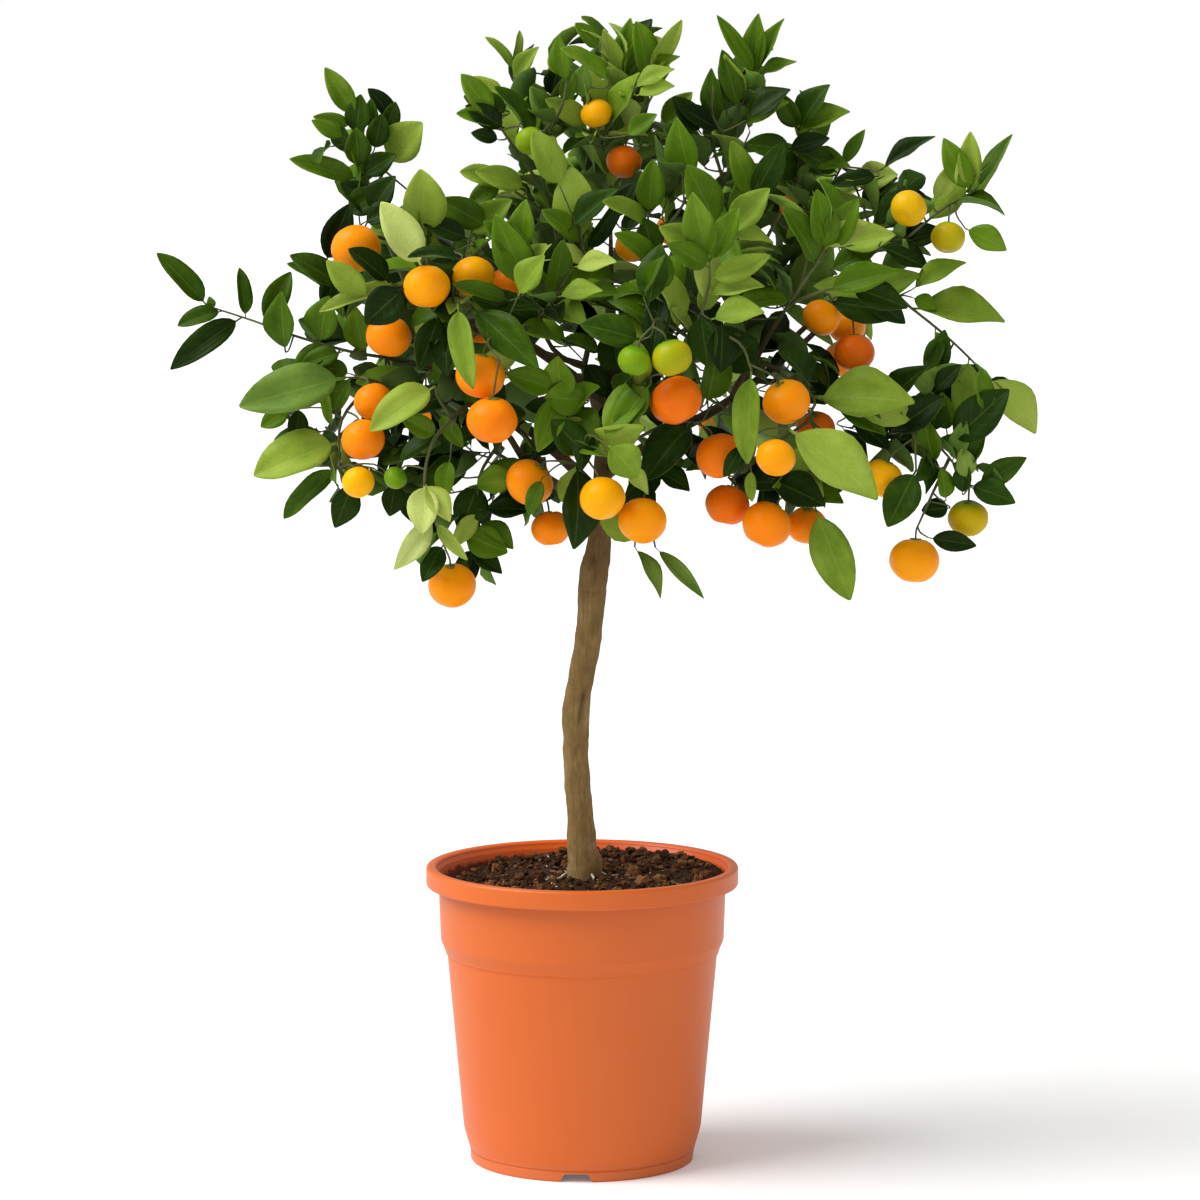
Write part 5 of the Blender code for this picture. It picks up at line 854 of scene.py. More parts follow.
def settle(piece):
    """Put an object's place into its mesh."""
    take(piece)
    bpy.ops.object.transform_apply(location=True, rotation=True, scale=True)


def apply_modifier(piece, modifier):
    take(piece)
    bpy.ops.object.modifier_apply(modifier=modifier.name)


def thicken(piece, thickness, offset):
    """Turn a sheet into a thin body."""
    modifier = piece.modifiers.new("thickness", "SOLIDIFY")
    modifier.thickness = thickness
    modifier.offset = offset
    apply_modifier(piece, modifier)


def close_seams(threshold):
    """In edit mode, merge vertices nearer than this and turn all faces outwards."""
    bpy.ops.mesh.select_all(action="SELECT")
    bpy.ops.mesh.remove_doubles(threshold=threshold)
    bpy.ops.mesh.normals_make_consistent(inside=False)


def rough(place, octaves=3):
    """Rough noise at a place, about -1 to 1."""
    return noise.fractal(place, 0.7, 2.0, octaves)


def dress(piece, *materials):
    """Give a piece its materials."""
    piece.data.materials.clear()
    for material in materials:
        piece.data.materials.append(material)


def join(name, pieces):
    """One object from several."""
    take(pieces[0])
    for piece in pieces[1:]:
        piece.select_set(True)
    bpy.ops.object.join()
    joined = bpy.context.view_layer.objects.active
    joined.name = name
    joined.data.name = name
    return joined


def mark(mesh, name, columns):
    """Write a vector attribute: a number for all, or one number per vertex, in each column."""
    attribute = mesh.attributes.get(name) or mesh.attributes.new(name, "FLOAT_VECTOR", "POINT")
    values = np.zeros(len(mesh.vertices) * 3, np.float32)
    attribute.data.foreach_get("vector", values)
    values = values.reshape(-1, 3)
    for column, value in columns.items():
        values[:, column] = value
    attribute.data.foreach_set("vector", values.ravel())


def stamp(master, place):
    """A copy of a master at a place, with a mesh of its own."""
    mesh = master.data.copy()
    mesh.transform(place)
    copy = bpy.data.objects.new(master.name, mesh)
    bpy.context.scene.collection.objects.link(copy)
    return copy


def turned_piece(name, profile, steps):
    """A body turned about Z: a point is pulled along the (radius, height) profile and spun."""
    bpy.ops.mesh.primitive_plane_add(size=1.0 * MM)
    piece = bpy.context.object
    piece.name = name
    edit(piece)
    bpy.ops.mesh.select_all(action="SELECT")
    bpy.ops.mesh.merge(type="CENTER")
    start = profile[0]
    bpy.ops.transform.translate(value=(start[0] * MM, 0.0, start[1] * MM))
    for before, after in zip(profile, profile[1:]):
        step = ((after[0] - before[0]) * MM, 0.0, (after[1] - before[1]) * MM)
        bpy.ops.mesh.extrude_region_move(TRANSFORM_OT_translate={"value": step})
    bpy.ops.mesh.select_all(action="SELECT")
    bpy.ops.mesh.spin(steps=steps, angle=2.0 * math.pi, center=(0.0, 0.0, 0.0), axis=UP)
    close_seams(0.01 * MM)
    close_edit()
    return piece


def rods(name, routes, sides, material):
    """Closed round wood along routes of (place, radius), as one mesh."""
    curve = bpy.data.curves.new(name, "CURVE")
    curve.dimensions = "3D"
    curve.bevel_depth = MM
    curve.bevel_resolution = (sides - 4) // 2
    curve.use_fill_caps = True
    for route in routes:
        spline = curve.splines.new("POLY")
        spline.points.add(len(route) - 1)
        for knot, (place, radius) in zip(spline.points, route):
            knot.co = (*place, 1.0)
            knot.radius = radius / MM
    piece = bpy.data.objects.new(name, curve)
    bpy.context.scene.collection.objects.link(piece)
    take(piece)
    bpy.ops.object.convert(target="MESH")
    piece = bpy.context.object
    edit(piece)
    close_seams(0.001 * MM)
    bpy.ops.mesh.faces_shade_smooth()
    close_edit()
    dress(piece, material)
    return piece


def add(piece, slot, *nodes):
    """Put a finished piece on the plant: it rides on the root's body, and the solids that it
    stands for are hidden.
    """
    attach(piece, "root")
    if nodes:
        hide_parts(*nodes)


# ---------------------------------------------------------------- routes of the wood


def vectors(points):
    """Places in metres from points in cm."""
    return [Vector(point[:3]) * CM for point in points]


def smooth_route(places, steps=4):
    """A curve through the places, with this many steps between each two."""
    ends = [places[0] * 2.0 - places[1]] + list(places) + [places[-1] * 2.0 - places[-2]]
    route = []
    for a, b, c, d in zip(ends, ends[1:], ends[2:], ends[3:]):
        for i in range(steps):
            t = i / steps
            route.append(0.5 * (2.0 * b + (c - a) * t + (2.0 * a - 5.0 * b + 4.0 * c - d) * t * t
                                + (3.0 * b - a - 3.0 * c + d) * t ** 3))
    return route + [places[-1]]


def route_length(route):
    return sum((end - start).length for start, end in zip(route, route[1:]))


def along_route(route, station):
    """The place and direction at a station, 0 to 1, along a route."""
    left = station * route_length(route)
    for start, end in zip(route, route[1:]):
        length = (end - start).length
        if left <= length or end is route[-1]:
            return start.lerp(end, min(left / length, 1.0)), (end - start).normalized()
        left -= length


def route_places(shoot_routes, steps, first=0):
    """Places all along the shoots' routes, each with its shoot's name."""
    return [(along_route(route, step / steps)[0], name)
            for name, routes in shoot_routes.items() for route in routes
            for step in range(first, steps + 1)]


def nearest(places, spot):
    """The place that lies nearest to a spot, and its shoot's name."""
    return min(places, key=lambda item: (item[0] - spot).length)


def tapered(route, radii):
    """(place, radius) pairs along a route, the radii in cm at its two ends."""
    last = len(route) - 1
    return [(place, (radii[0] + (radii[1] - radii[0]) * i / last) * CM)
            for i, place in enumerate(route)]


def curved(start, end, arrive, count):
    """A smooth route from start to end, whose last stretch runs straight along a direction."""
    last = end - arrive * STRAIGHT_END * CM
    handle = last - arrive * (last - start).length * 0.4
    steps = [i / (count - 1) for i in range(count)]
    return [start * (1 - t) ** 2 + handle * 2 * t * (1 - t) + last * t * t for t in steps] + [end]


# ---------------------------------------------------------------- pot and compost

# The inner wall as (radius, height), and the other sizes of the pot and the compost, in mm.
WALL_INSIDE = [(74.0, 6.5), (77.8, 9.5), (81.8, 22.5), (92.8, 146.5), (97.4, 156.0), (99.3, 198.0)]
POT_STEPS = 144
DRAIN_HOLES = 8
DRAIN_RADIUS = 5.0
DRAIN_CIRCLE = 55.0
NOTCHES = 4
NOTCH_SIZE = (14.0, 25.4, 7.8)
NOTCH_CIRCLE = 78.5
NOTCH_TURN = -93.0               # degrees, of the notch in front
SOIL_BOTTOM = 7.0
SOIL_STEPS = 128
CRUMBS = 1150                    # how many lie on the compost
STREWN_RADIUS = 0.094            # metres from the centre, how far out they lie
ANY_TURN = 6.28                  # radians, for a piece that may be turned any way round


def on_circle(radius, angle, height=0.0):
    """A place on a circle round Z, the angle in radians."""
    return Vector((radius * math.cos(angle), radius * math.sin(angle), height))


def rounded(centre, radius, start, end, count):
    """Points of a profile on an arc, angles in degrees."""
    angles = [math.radians(start + (end - start) * i / (count - 1)) for i in range(count)]
    return [(centre[0] + radius * math.cos(a), centre[1] + radius * math.sin(a)) for a in angles]


def make_pot():
    """The nursery pot: tapered wall, step, collar, rolled lip, drain holes and foot notches."""
    inside = [(0.0, 6.5)] + WALL_INSIDE + [(101.0, 204.6), (102.6, 207.4)]
    lip = rounded((105.4, 207.0), 2.9, 160.0, 95.0, 7) + rounded((107.8, 207.7), 2.2, 85.0, 0.0, 9)
    skirt = [(110.0, 197.6), (109.5, 196.6), (108.6, 196.4), (107.6, 197.4), (107.2, 203.5)]
    collar = [(102.8, 203.0), (101.4, 200.0), (99.9, 158.4), (99.6, 156.8), (98.9, 155.4),
              (96.6, 149.4), (96.5, 148.5), (96.3, 148.0), (95.4, 147.2), (95.1, 145.0)]
    wall = [(84.1, 24.0), (82.2, 16.5), (80.6, 11.5), (79.9, 8.6), (79.0, 7.9), (78.8, 7.4),
            (79.3, 6.8)]
    foot = [(79.3, 1.4), (78.6, 0.0), (76.6, 0.0), (76.0, 4.5)]
    pad = [(22.0, 4.5), (20.0, 0.0), (0.0, 0.0)]
    pot = turned_piece("nursery_pot", inside + lip + skirt + collar + wall + foot + pad,
                       POT_STEPS)
    cutters = []
    for i in range(DRAIN_HOLES):
        angle = 2.0 * math.pi * (i + 0.5) / DRAIN_HOLES
        bpy.ops.mesh.primitive_cylinder_add(
            vertices=24, radius=DRAIN_RADIUS * MM, depth=14.0 * MM,
            location=on_circle(DRAIN_CIRCLE * MM, angle, 5.0 * MM))
        cutters.append(bpy.context.object)
    for i in range(NOTCHES):
        turn = math.radians(NOTCH_TURN + 90.0 * i)
        bpy.ops.mesh.primitive_cube_add(size=1.0)
        block = bpy.context.object
        edit(block)
        bpy.ops.mesh.select_all(action="SELECT")
        bpy.ops.transform.resize(value=[size * MM for size in NOTCH_SIZE])
        pick(block, lambda co: co.z > 0.0)
        bpy.ops.transform.resize(value=(1.0, 0.64, 1.0))
        bpy.ops.mesh.bevel(offset=1.2 * MM, segments=3, affect="EDGES")
        close_edit()
        block.location = on_circle(NOTCH_CIRCLE * MM, turn, 1.9 * MM)
        block.rotation_euler = (0.0, 0.0, turn)
        settle(block)
        cutters.append(block)
    openings = join("openings", cutters)
    cut = pot.modifiers.new("openings", "BOOLEAN")
    cut.operation = "DIFFERENCE"
    cut.solver = "EXACT"
    cut.object = openings
    apply_modifier(pot, cut)
    bpy.data.objects.remove(openings)
    take(pot)
    bpy.ops.object.shade_smooth_by_angle(angle=math.radians(14.0))
    inner = [float(corner.co.z > 0.1
                   and corner.normal.xy.dot(corner.co.xy) < -0.3 * corner.co.xy.length)
             for corner in pot.data.vertices]
    mark(pot.data, "inner_wall", {0: inner})
    dress(pot, satin_terracotta())
    add(pot, "pot", "pot")


def soil_height(x, y):
    """The height of the compost at a place, all in metres: highest at the right and the back."""
    radius = math.hypot(x, y)
    mound = 11.0 * MM * max(0.0, min(1.0, 0.35 + (0.75 * x + 0.65 * y) / 0.11))
    edge = -4.0 * MM * (radius / 0.096) ** 3
    lumps = noise.fractal(Vector((x, y, 0.0)) * 70.0, 0.8, 2.1, 5)
    return 197.5 * MM + mound + edge + lumps * 2.4 * MM


def make_soil():
    """The compost bed, lumpy on top, and its crumbs, chips, grit and root ends."""
    top = [(radius * 3.2, 198.0) for radius in range(30)]
    side = [(radius - 0.5, height) for radius, height in reversed(WALL_INSIDE)]
    side[0] = (98.4, 193.0)
    side[-1] = (side[-1][0], SOIL_BOTTOM)
    bed = turned_piece("compost_bed", top + side + [(0.0, SOIL_BOTTOM)], SOIL_STEPS)
    for corner in bed.data.vertices:
        if corner.co.z > 192.0 * MM:
            corner.co.z = soil_height(corner.co.x, corner.co.y)
    bed.data.shade_smooth()
    mark(bed.data, "crumb_tone", {0: 0.3})
    dress(bed, compost("damp_compost", "1E1209", "442A17", "70492D"))
    add(bed, "soil", "soil")

    chance = random.Random("crumbs")
    brown = compost("compost_crumbs", "28180C", "5E3B1F", "9C6B42")
    lumps = [model_lump(f"lump_{i}", 2, 0.35, i * 7.0, brown) for i in range(3)]
    grains = [model_lump(f"grain_{i}", 1, 0.25, 30.0 + i * 5.0, brown) for i in range(2)]
    crumbs = []
    for i in range(CRUMBS):
        masters, sizes = (lumps, (1.6, 4.2)) if i % 4 == 0 else (grains, (0.7, 1.9))
        size = chance.uniform(*sizes) * MM
        crumb = stamp(chance.choice(masters), scattered(chance, size, 0.3, size * 0.5))
        mark(crumb.data, "crumb_tone", {0: chance.uniform(0.0, 1.0) ** 1.6})
        crumbs.append(crumb)
    add(join("compost_crumbs", crumbs), "soil")
    for master in lumps + grains:
        bpy.data.objects.remove(master)

    chip_wood = plain_grain("bark_chips", "4A2E1A", "8A6440", 300.0, 0.85)
    chip = model_lump("chip", 1, 0.3, 3.0, chip_wood)
    strew("bark_chips", chip, chance, 46, (1.6, 3.4), 0.4, (1.6, 0.7, 0.35))
    pale = plain_grain("perlite", "C9BFAE", "E6DFD2", 500.0, 0.9)
    grit = model_lump("grit", 1, 0.2, 9.0, pale)
    strew("perlite", grit, chance, 34, (0.5, 1.2), 0.7, (1.0, 1.0, 1.0))

    roots = []
    for _ in range(9):
        angle = chance.choice((math.pi, 0.0)) + chance.uniform(-0.9, 0.9) - 0.5
        reach = chance.uniform(0.006, 0.016)
        start = Vector((0.001 + 0.012 * math.cos(angle), 0.012 * math.sin(angle), 0.0))
        end = start + on_circle(1.0, angle) * reach
        route = [start, start.lerp(end, 0.5) + Vector((0.0, -0.002, 0.0)), end]
        for place in route:
            place.z = soil_height(place.x, place.y) + 0.6 * MM
        route[0].z += chance.uniform(1.0, 4.0) * MM
        roots.append(tapered(smooth_route(route), (0.07, 0.03)))
    pale_root = plain_grain("young_roots", "B8A88C", "E0D6C2", 400.0, 0.7)
    add(rods("young_roots", roots, 6, pale_root), "soil")


def model_lump(name, cuts, roughness, seed, material):
    """A crumb: a rough ball of unit radius."""
    bpy.ops.mesh.primitive_ico_sphere_add(subdivisions=cuts, radius=1.0)
    lump = bpy.context.object
    lump.name = name
    for corner in lump.data.vertices:
        swell = rough(corner.co * 1.1 + Vector((seed, 0.0, 0.0)))
        corner.co *= 1.0 + roughness * 2.0 * swell
    mark(lump.data, "crumb_tone", {0: 0.5})
    dress(lump, material)
    return lump


def strew(name, master, chance, count, sizes, lift, shape):
    """One piece from copies of a master all over the compost: sizes in mm, lift in sizes."""
    copies = []
    for _ in range(count):
        size = chance.uniform(*sizes) * MM
        place = scattered(chance, size, 0.2, size * lift)
        copies.append(stamp(master, place @ Matrix.Diagonal((*shape, 1.0))))
    add(join(name, copies), "soil")
    bpy.data.objects.remove(master)


def scattered(chance, size, tilt, lift):
    """A random place on the compost, turned at random, for a crumb of this size."""
    radius = STREWN_RADIUS * math.sqrt(chance.uniform(0.02, 1.0))
    angle = chance.uniform(0.0, 2.0 * math.pi)
    x, y = radius * math.cos(angle), radius * math.sin(angle)
    spot = Matrix.Translation((x, y, soil_height(x, y) + lift))
    turn = Matrix.Rotation(chance.uniform(0.0, ANY_TURN), 4, "Z")
    lean = Matrix.Rotation(chance.uniform(-tilt, tilt) * 3.0, 4, "X")
    deep, high = chance.uniform(0.7, 1.0), chance.uniform(0.6, 0.9)
    return spot @ (turn @ lean) @ Matrix.Diagonal((size, size * deep, size * high, 1.0))


# ---------------------------------------------------------------- wood

# Swellings of the stem: centre in cm, how far each reaches and how far it pushes, in mm.
SWELLINGS = [
    ((1.5, -0.3, 21.3), 9, 2.2), ((-1.2, -0.5, 20.6), 8, 1.2), ((-1.3, -0.2, 31.4), 9, 1),
    ((-1, -0.8, 32.7), 3.5, 0.9), ((1.4, -0.4, 27), 10, 0.5), ((0.9, -1, 39.8), 9, 0.7),
    ((-0.3, -0.2, 39.6), 8, 0.8), ((2.1, -0.2, 42.5), 9, 0.9), ((0.4, -0.8, 33), 4, 0.8),
    ((-0.6, -0.8, 30.2), 5, 0.5),
]
# Scars of the stem: centre in cm, then half width, half height and depth in mm.
SCARS = [
    ((-0.1, -0.9, 31.9), 1.7, 9, 1.5), ((0.1, -0.9, 33.1), 1.4, 6, 1.1),
    ((0.75, -0.9, 42.7), 1.8, 4.5, 1.1), ((0.9, -0.9, 41.6), 1.2, 5, 0.7),
    ((0.7, -0.9, 40.4), 9, 0.9, 0.35), ((-0.45, -0.9, 29.2), 1.2, 3, 0.5),
    ((-0.25, -0.9, 28.3), 0.9, 3.5, 0.4), ((-0.55, -0.9, 27.7), 1, 2.5, 0.4),
    ((0.05, -0.9, 24.6), 0.8, 5, 0.4), ((-0.45, -0.9, 25.6), 0.7, 4, 0.3),
    ((0.35, -0.9, 36.2), 0.8, 6, 0.5), ((0.75, -0.9, 37.6), 0.9, 4, 0.5),
]


def make_wood():
    """The stem, its pruned stub, the limbs and the branches up to the shoots."""
    old = bark()
    places = vectors(STEM)
    route = smooth_route(places, 14)
    heights = [place.z for place in places]
    radii = [point[3] * CM for point in STEM]
    stem_route = [(place, float(np.interp(place.z, heights, radii))) for place in route]
    stem = rods("stem", [stem_route], 40, old)
    normals = [corner.normal.copy() for corner in stem.data.vertices]
    scarred = []
    for corner, normal in zip(stem.data.vertices, normals):
        co = corner.co
        ridge = rough(Vector((co.x * 260.0, co.y * 260.0, co.z * 42.0)), 4)
        push = ridge * 0.45 * MM + rough(co * 55.0) * 0.7 * MM
        for centre, reach, height in SWELLINGS:
            far = (co - Vector(centre) * CM).length / (reach * MM)
            push += height * MM * math.exp(-far * far)
        scar = 0.0
        for centre, width, height, depth in SCARS:
            off = co - Vector(centre) * CM
            far = math.hypot((off.x - 0.12 * off.z) / (width * MM), off.z / (height * MM),
                             off.y / (9.0 * MM))
            scar += math.exp(-far * far) * min(1.0, depth)
            push -= depth * MM * math.exp(-far * far)
        scarred.append(min(1.0, scar))
        corner.co = co + normal * push
    mark(stem.data, "scar", {0: scarred})
    stub = rods("stub", [tapered(smooth_route(vectors(PRUNED_STUB), 3), STUB_RADII)], 16, old)
    for corner in stub.data.vertices:
        corner.co += corner.normal * rough(corner.co * 160.0) * 0.8 * MM
    wood = [stem, stub]
    limbs = {name: smooth_route(vectors(points)) for name, points in LIMBS.items()}
    wood.append(rods("limbs", [tapered(limb, LIMB_RADII) for limb in limbs.values()], 10, old))
    limbs["leader"] = [place for place in smooth_route(places) if place.z > LEADER_FROM * CM]
    branches = []
    for shoot in SHOOTS.values():
        first = vectors(shoot["routes"][0])
        start, _ = along_route(limbs[shoot["limb"]], shoot["at"] - 0.02)
        arrive = (first[1] - first[0]).normalized()
        branches.append(tapered(curved(start, first[0], arrive, 7), BRANCH_RADII))
    wood.append(rods("branches", branches, 8, old))
    add(join("stem_and_limbs", wood), "bark", "trunk")


# ---------------------------------------------------------------- fruits


def model_fruit(name, peel, green):
    """A fruit of unit radius: a flattened ball, a dimple at each end and a star on top."""
    bpy.ops.mesh.primitive_uv_sphere_add(segments=32, ring_count=20, radius=1.0)
    fruit = bpy.context.object
    fruit.name = name
    edit(fruit)
    bpy.ops.mesh.select_all(action="SELECT")
    bpy.ops.transform.resize(value=(1.0, 1.0, FLATNESS))
    for side, depth in ((1.0, -0.10), (-1.0, 0.07)):
        pick(fruit, lambda co: co.z * side > FLATNESS - 0.001)
        bpy.ops.transform.translate(value=(0.0, 0.0, depth), use_proportional_edit=True,
                                    proportional_edit_falloff="SMOOTH", proportional_size=0.5)
    close_edit()
    for corner in fruit.data.vertices:
        corner.co *= 1.0 + 0.03 * noise.noise(corner.co * 1.7)
    fruit.data.shade_smooth()
    heights = np.array([corner.co.z for corner in fruit.data.vertices]) * 0.5 + 0.5
    mark(fruit.data, "peel", {0: 0.7, 1: heights})
    dress(fruit, peel)

    bpy.ops.mesh.primitive_circle_add(vertices=10, radius=0.24, fill_type="TRIFAN",
                                      location=(0.0, 0.0, FLATNESS - 0.05))
    star = bpy.context.object
    settle(star)
    edit(star)
    # Every second one of its ten corners is drawn in.
    pick(star, lambda co: co.xy.length > 0.1
         and round(math.degrees(math.atan2(co.y, co.x)) / 36.0) % 2 == 1)
    bpy.ops.transform.resize(value=(0.5, 0.5, 1.0), center_override=(0.0, 0.0, FLATNESS - 0.05))
    close_edit()
    thicken(star, 0.05, 0.0)
    dress(star, green)
    return join(name, [fruit, star])


def fruit_list():
    """Every fruit as (name, centre, width, ripeness, CAD node or None), in metres."""
    fruits = []
    for number, ripeness in enumerate(RIPENESS, start=1):
        name = f"fruit_{number:02d}"
        low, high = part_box(name)
        fruits.append((name, (low + high) / 2.0, (high - low).x, ripeness, name))
    for number, (x, y, z, width, ripeness) in enumerate(INNER_FRUITS, start=1):
        centre = Vector((x, y, z)) * CM
        fruits.append((f"inner_fruit_{number:02d}", centre, width * CM, ripeness, None))
    return fruits


def hang_fruits(fruits, routes):
    """Each fruit's axis and its stalk's route, from the nearest twig."""
    places = route_places(routes, 12, first=1)
    hung = []
    for _, centre, width, _, _ in fruits:
        start, carrier = nearest(places, centre + UP * 0.75 * width)
        axis = (UP + (start - centre).normalized() * 1.3).normalized()
        neck = centre + axis * (width / 2.0 * FLATNESS - 0.5 * MM)
        bend = neck + axis * 0.5 * CM
        stalk = [start, start.lerp(bend, 0.55) + axis * 0.1 * CM, bend, neck]
        hung.append((axis, carrier, tapered(smooth_route(stalk, 3), STALK_RADII)))
    return hung


def make_fruits(fruits, hung):
    """The fruits, each a copy of one master."""
    master = model_fruit("fruit_master", pored_peel(), calyx_green())
    chance = random.Random("fruits")
    for (name, centre, width, ripeness, node), (axis, _, _) in zip(fruits, hung):
        spin = Matrix.Rotation(chance.uniform(0.0, ANY_TURN), 4, "Z")
        turn = UP.rotation_difference(axis).to_matrix().to_4x4()
        size = width / 2.0 * FRUIT_SWELL
        shape = Matrix.Diagonal((size, size * chance.uniform(0.97, 1.0), size, 1.0))
        piece = stamp(master, Matrix.Translation(centre) @ turn @ spin @ shape)
        piece.name = "peel_" + name
        mark(piece.data, "peel", {0: ripeness})
        slot = ("fruit_green" if ripeness < 0.45 else "fruit_yellow" if ripeness < 0.6
                else "fruit_orange")
        add(piece, slot, *([node] if node else []))
    bpy.data.objects.remove(master)


# ---------------------------------------------------------------- leaves

# Rows of a leaf from its foot to its tip, as shares of its length.
LEAF_ROWS = (0.0, 0.09, 0.17, 0.32, 0.50, 0.68, 0.84, 0.95, 1.0)
BROAD_ROWS = (0.0, 0.06, 0.09, 0.13, 0.20, 0.29, 0.39, 0.50, 0.61, 0.72, 0.82, 0.91, 0.965, 1.0)
# Leaf masters, the small ones and the broad ones: name, curl in radians, fold and wave.
LEAF_FORMS = [
    ("leaf_arched", 0.55, 0.16, 0.05), ("leaf_flat", 0.18, 0.13, 0.06),
    ("leaf_curled", 0.95, 0.18, 0.04), ("leaf_cupped", -0.30, 0.16, 0.05),
]
BROAD_FORMS = [("broad_flat", 0.22, 0.13, 0.06), ("broad_arched", 0.50, 0.15, 0.05)]


def leaf_half(along):
    """A leaf's half width at a share of its length, as a share of its greatest half width."""
    blade = max(0.0, (along - 0.09) / 0.91)
    return max(0.05, math.sin(math.pi * min(1.0, blade) ** 0.82) ** 0.75 if blade < 1.0 else 0.0)


def model_leaf(name, rows, columns, curl, fold, wave, material):
    """A leaf of unit length and width along +Y: short petiole, folded blade, curled tip."""
    last = len(rows) - 1
    bpy.ops.mesh.primitive_grid_add(x_subdivisions=columns, y_subdivisions=last, size=1.0,
                                    location=(0.0, 0.5, 0.0))
    leaf = bpy.context.object
    leaf.name = name
    settle(leaf)
    edit(leaf)
    for column in range(1, columns // 2 + 1):
        share = 2.0 * column / columns
        pick(leaf, lambda co: abs(abs(co.x) - share / 2.0) < 0.01)
        bpy.ops.transform.translate(value=(0.0, 0.0, share ** 1.5 * fold))
    chord = 2.0 * math.sin(curl / 2.0)
    for i, along in enumerate(rows):
        start = i / last
        half = leaf_half(along)
        pick(leaf, lambda co: abs(co.y - start) < 0.01)
        bpy.ops.transform.resize(value=(half, 1.0, half), center_override=(0.0, start, 0.0))
        angle = curl * (0.5 - along)
        reach = (math.sin(curl / 2.0) - math.sin(angle)) / chord - start
        rise = (math.cos(angle) - math.cos(curl / 2.0)) / chord
        bpy.ops.transform.translate(value=(0.0, reach, rise))
        if 1 < i < last:
            ripple = wave * half * math.sin(7.0 * along + 1.0)
            pick(leaf, lambda co: abs(co.y - start - reach) < 0.01 and co.x > 0.3 * half)
            bpy.ops.transform.translate(value=(0.0, 0.0, ripple))
            pick(leaf, lambda co: abs(co.y - start - reach) < 0.01 and co.x < -0.3 * half)
            bpy.ops.transform.translate(value=(0.0, 0.0, -ripple))
    close_edit()
    count = len(leaf.data.vertices)
    thicken(leaf, 0.012, -1.0)
    leaf.data.shade_smooth()
    under = np.zeros(len(leaf.data.vertices))
    under[count:] = 1.0
    mark(leaf.data, "leaf_tone", {0: 0.4, 1: under})
    dress(leaf, material)
    return leaf


def leaf_frame(base, direction, face, length, width):
    """The matrix that stands a leaf at base along a direction with its upper side to face."""
    along = direction.normalized()
    normal = (face - along * face.dot(along)).normalized()
    turn = Matrix((along.cross(normal), along, normal)).transposed().to_4x4()
    return Matrix.Translation(base) @ turn @ Matrix.Diagonal((width, length, length, 1.0))


def aimed_leaf(base, heading, towards, length, width, tone):
    """A leaf that points a given way, as (base, direction, upper side, length, width, tone)."""
    chance = random.Random(f"face {heading} {length} {width}")
    turn, tilt = math.radians(heading), math.radians(towards)
    up = math.radians(FACE_UP + chance.uniform(-FACE_SPREAD, FACE_SPREAD))
    direction = Vector((math.cos(turn) * math.cos(tilt), -math.sin(tilt),
                        math.sin(turn) * math.cos(tilt)))
    direction.y = max(direction.y, (CAD_LOW.y - base.y) / (length * CM))
    face = Vector((chance.uniform(-0.5, 0.5), -math.cos(up), math.sin(up)))
    return (base, direction.normalized(), face, length * CM, width * BROADER * CM, tone)


def listed_leaves(shoot_routes, spots):
    """Every listed leaf, and the side twigs of the single ones, by shoot."""
    places = route_places(shoot_routes, 8)
    leaves = {name: [] for name in shoot_routes}
    twigs = {name: [] for name in shoot_routes}
    for name, shoot in SHOOTS.items():
        for index, station, *aim in shoot["leaves"]:
            base, _ = along_route(shoot_routes[name][index], station)
            leaves[name].append(fitted(aimed_leaf(base, *aim), spots))
    for x, y, z, *aim in SINGLE_LEAVES:
        base = Vector((x, y, z)) * CM
        start, name = nearest(places, base)
        leaf = fitted(aimed_leaf(base, *aim), spots)
        leaves[name].append(leaf)
        if leaf:
            # The twig bends so that it arrives the way the leaf points.
            middle = start.lerp(base, 0.6) - leaf[1] * 0.2 * (base - start).length
            twigs[name].append(smooth_route([start, middle, base], 3))
    return {name: [leaf for leaf in drawn if leaf] for name, drawn in leaves.items()}, twigs


def out_of_crown(place):
    """The direction that points straight out of the crown at a place."""
    return (place - CROWN_CENTRE).normalized()


def any_way(chance, reach):
    """A vector with each part drawn between -reach and reach."""
    return Vector([chance.uniform(-reach, reach) for _ in range(3)])


def spiral_leaves(route, fill, chance, tones, count=None):
    """Leaves in a spiral along a route, with one at its end."""
    length = route_length(route)
    count = count or max(2, round(length / (LEAF_SPACING * CM)))
    first = 0.25 if length < 6.0 * CM else 0.1
    leaves = []
    for i in range(count):
        station = first + (1.0 - first) * (i + 1) / count
        base, along = along_route(route, station)
        outward = out_of_crown(base)
        side = along.cross(UP + outward).normalized()
        turn = Matrix.Rotation(math.radians(LEAF_TURN * i + chance.uniform(-20.0, 20.0)), 3, along)
        lean = math.radians(LEAF_LEAN + chance.uniform(-16.0, 16.0)) * (1.15 - 0.5 * station)
        direction = along * math.cos(lean) + (turn @ side) * math.sin(lean)
        direction.z += chance.uniform(-0.15, 0.25)
        face = outward * 0.9 + UP * 0.6 + along * 0.2 + any_way(chance, 0.35)
        size = fill * FILL_SCALE * CM * chance.uniform(0.75, 1.2)
        leaves.append((base, direction.normalized(), face, size,
                       size * chance.uniform(*FILL_WIDTHS), chance.choice(tones)))
    return leaves


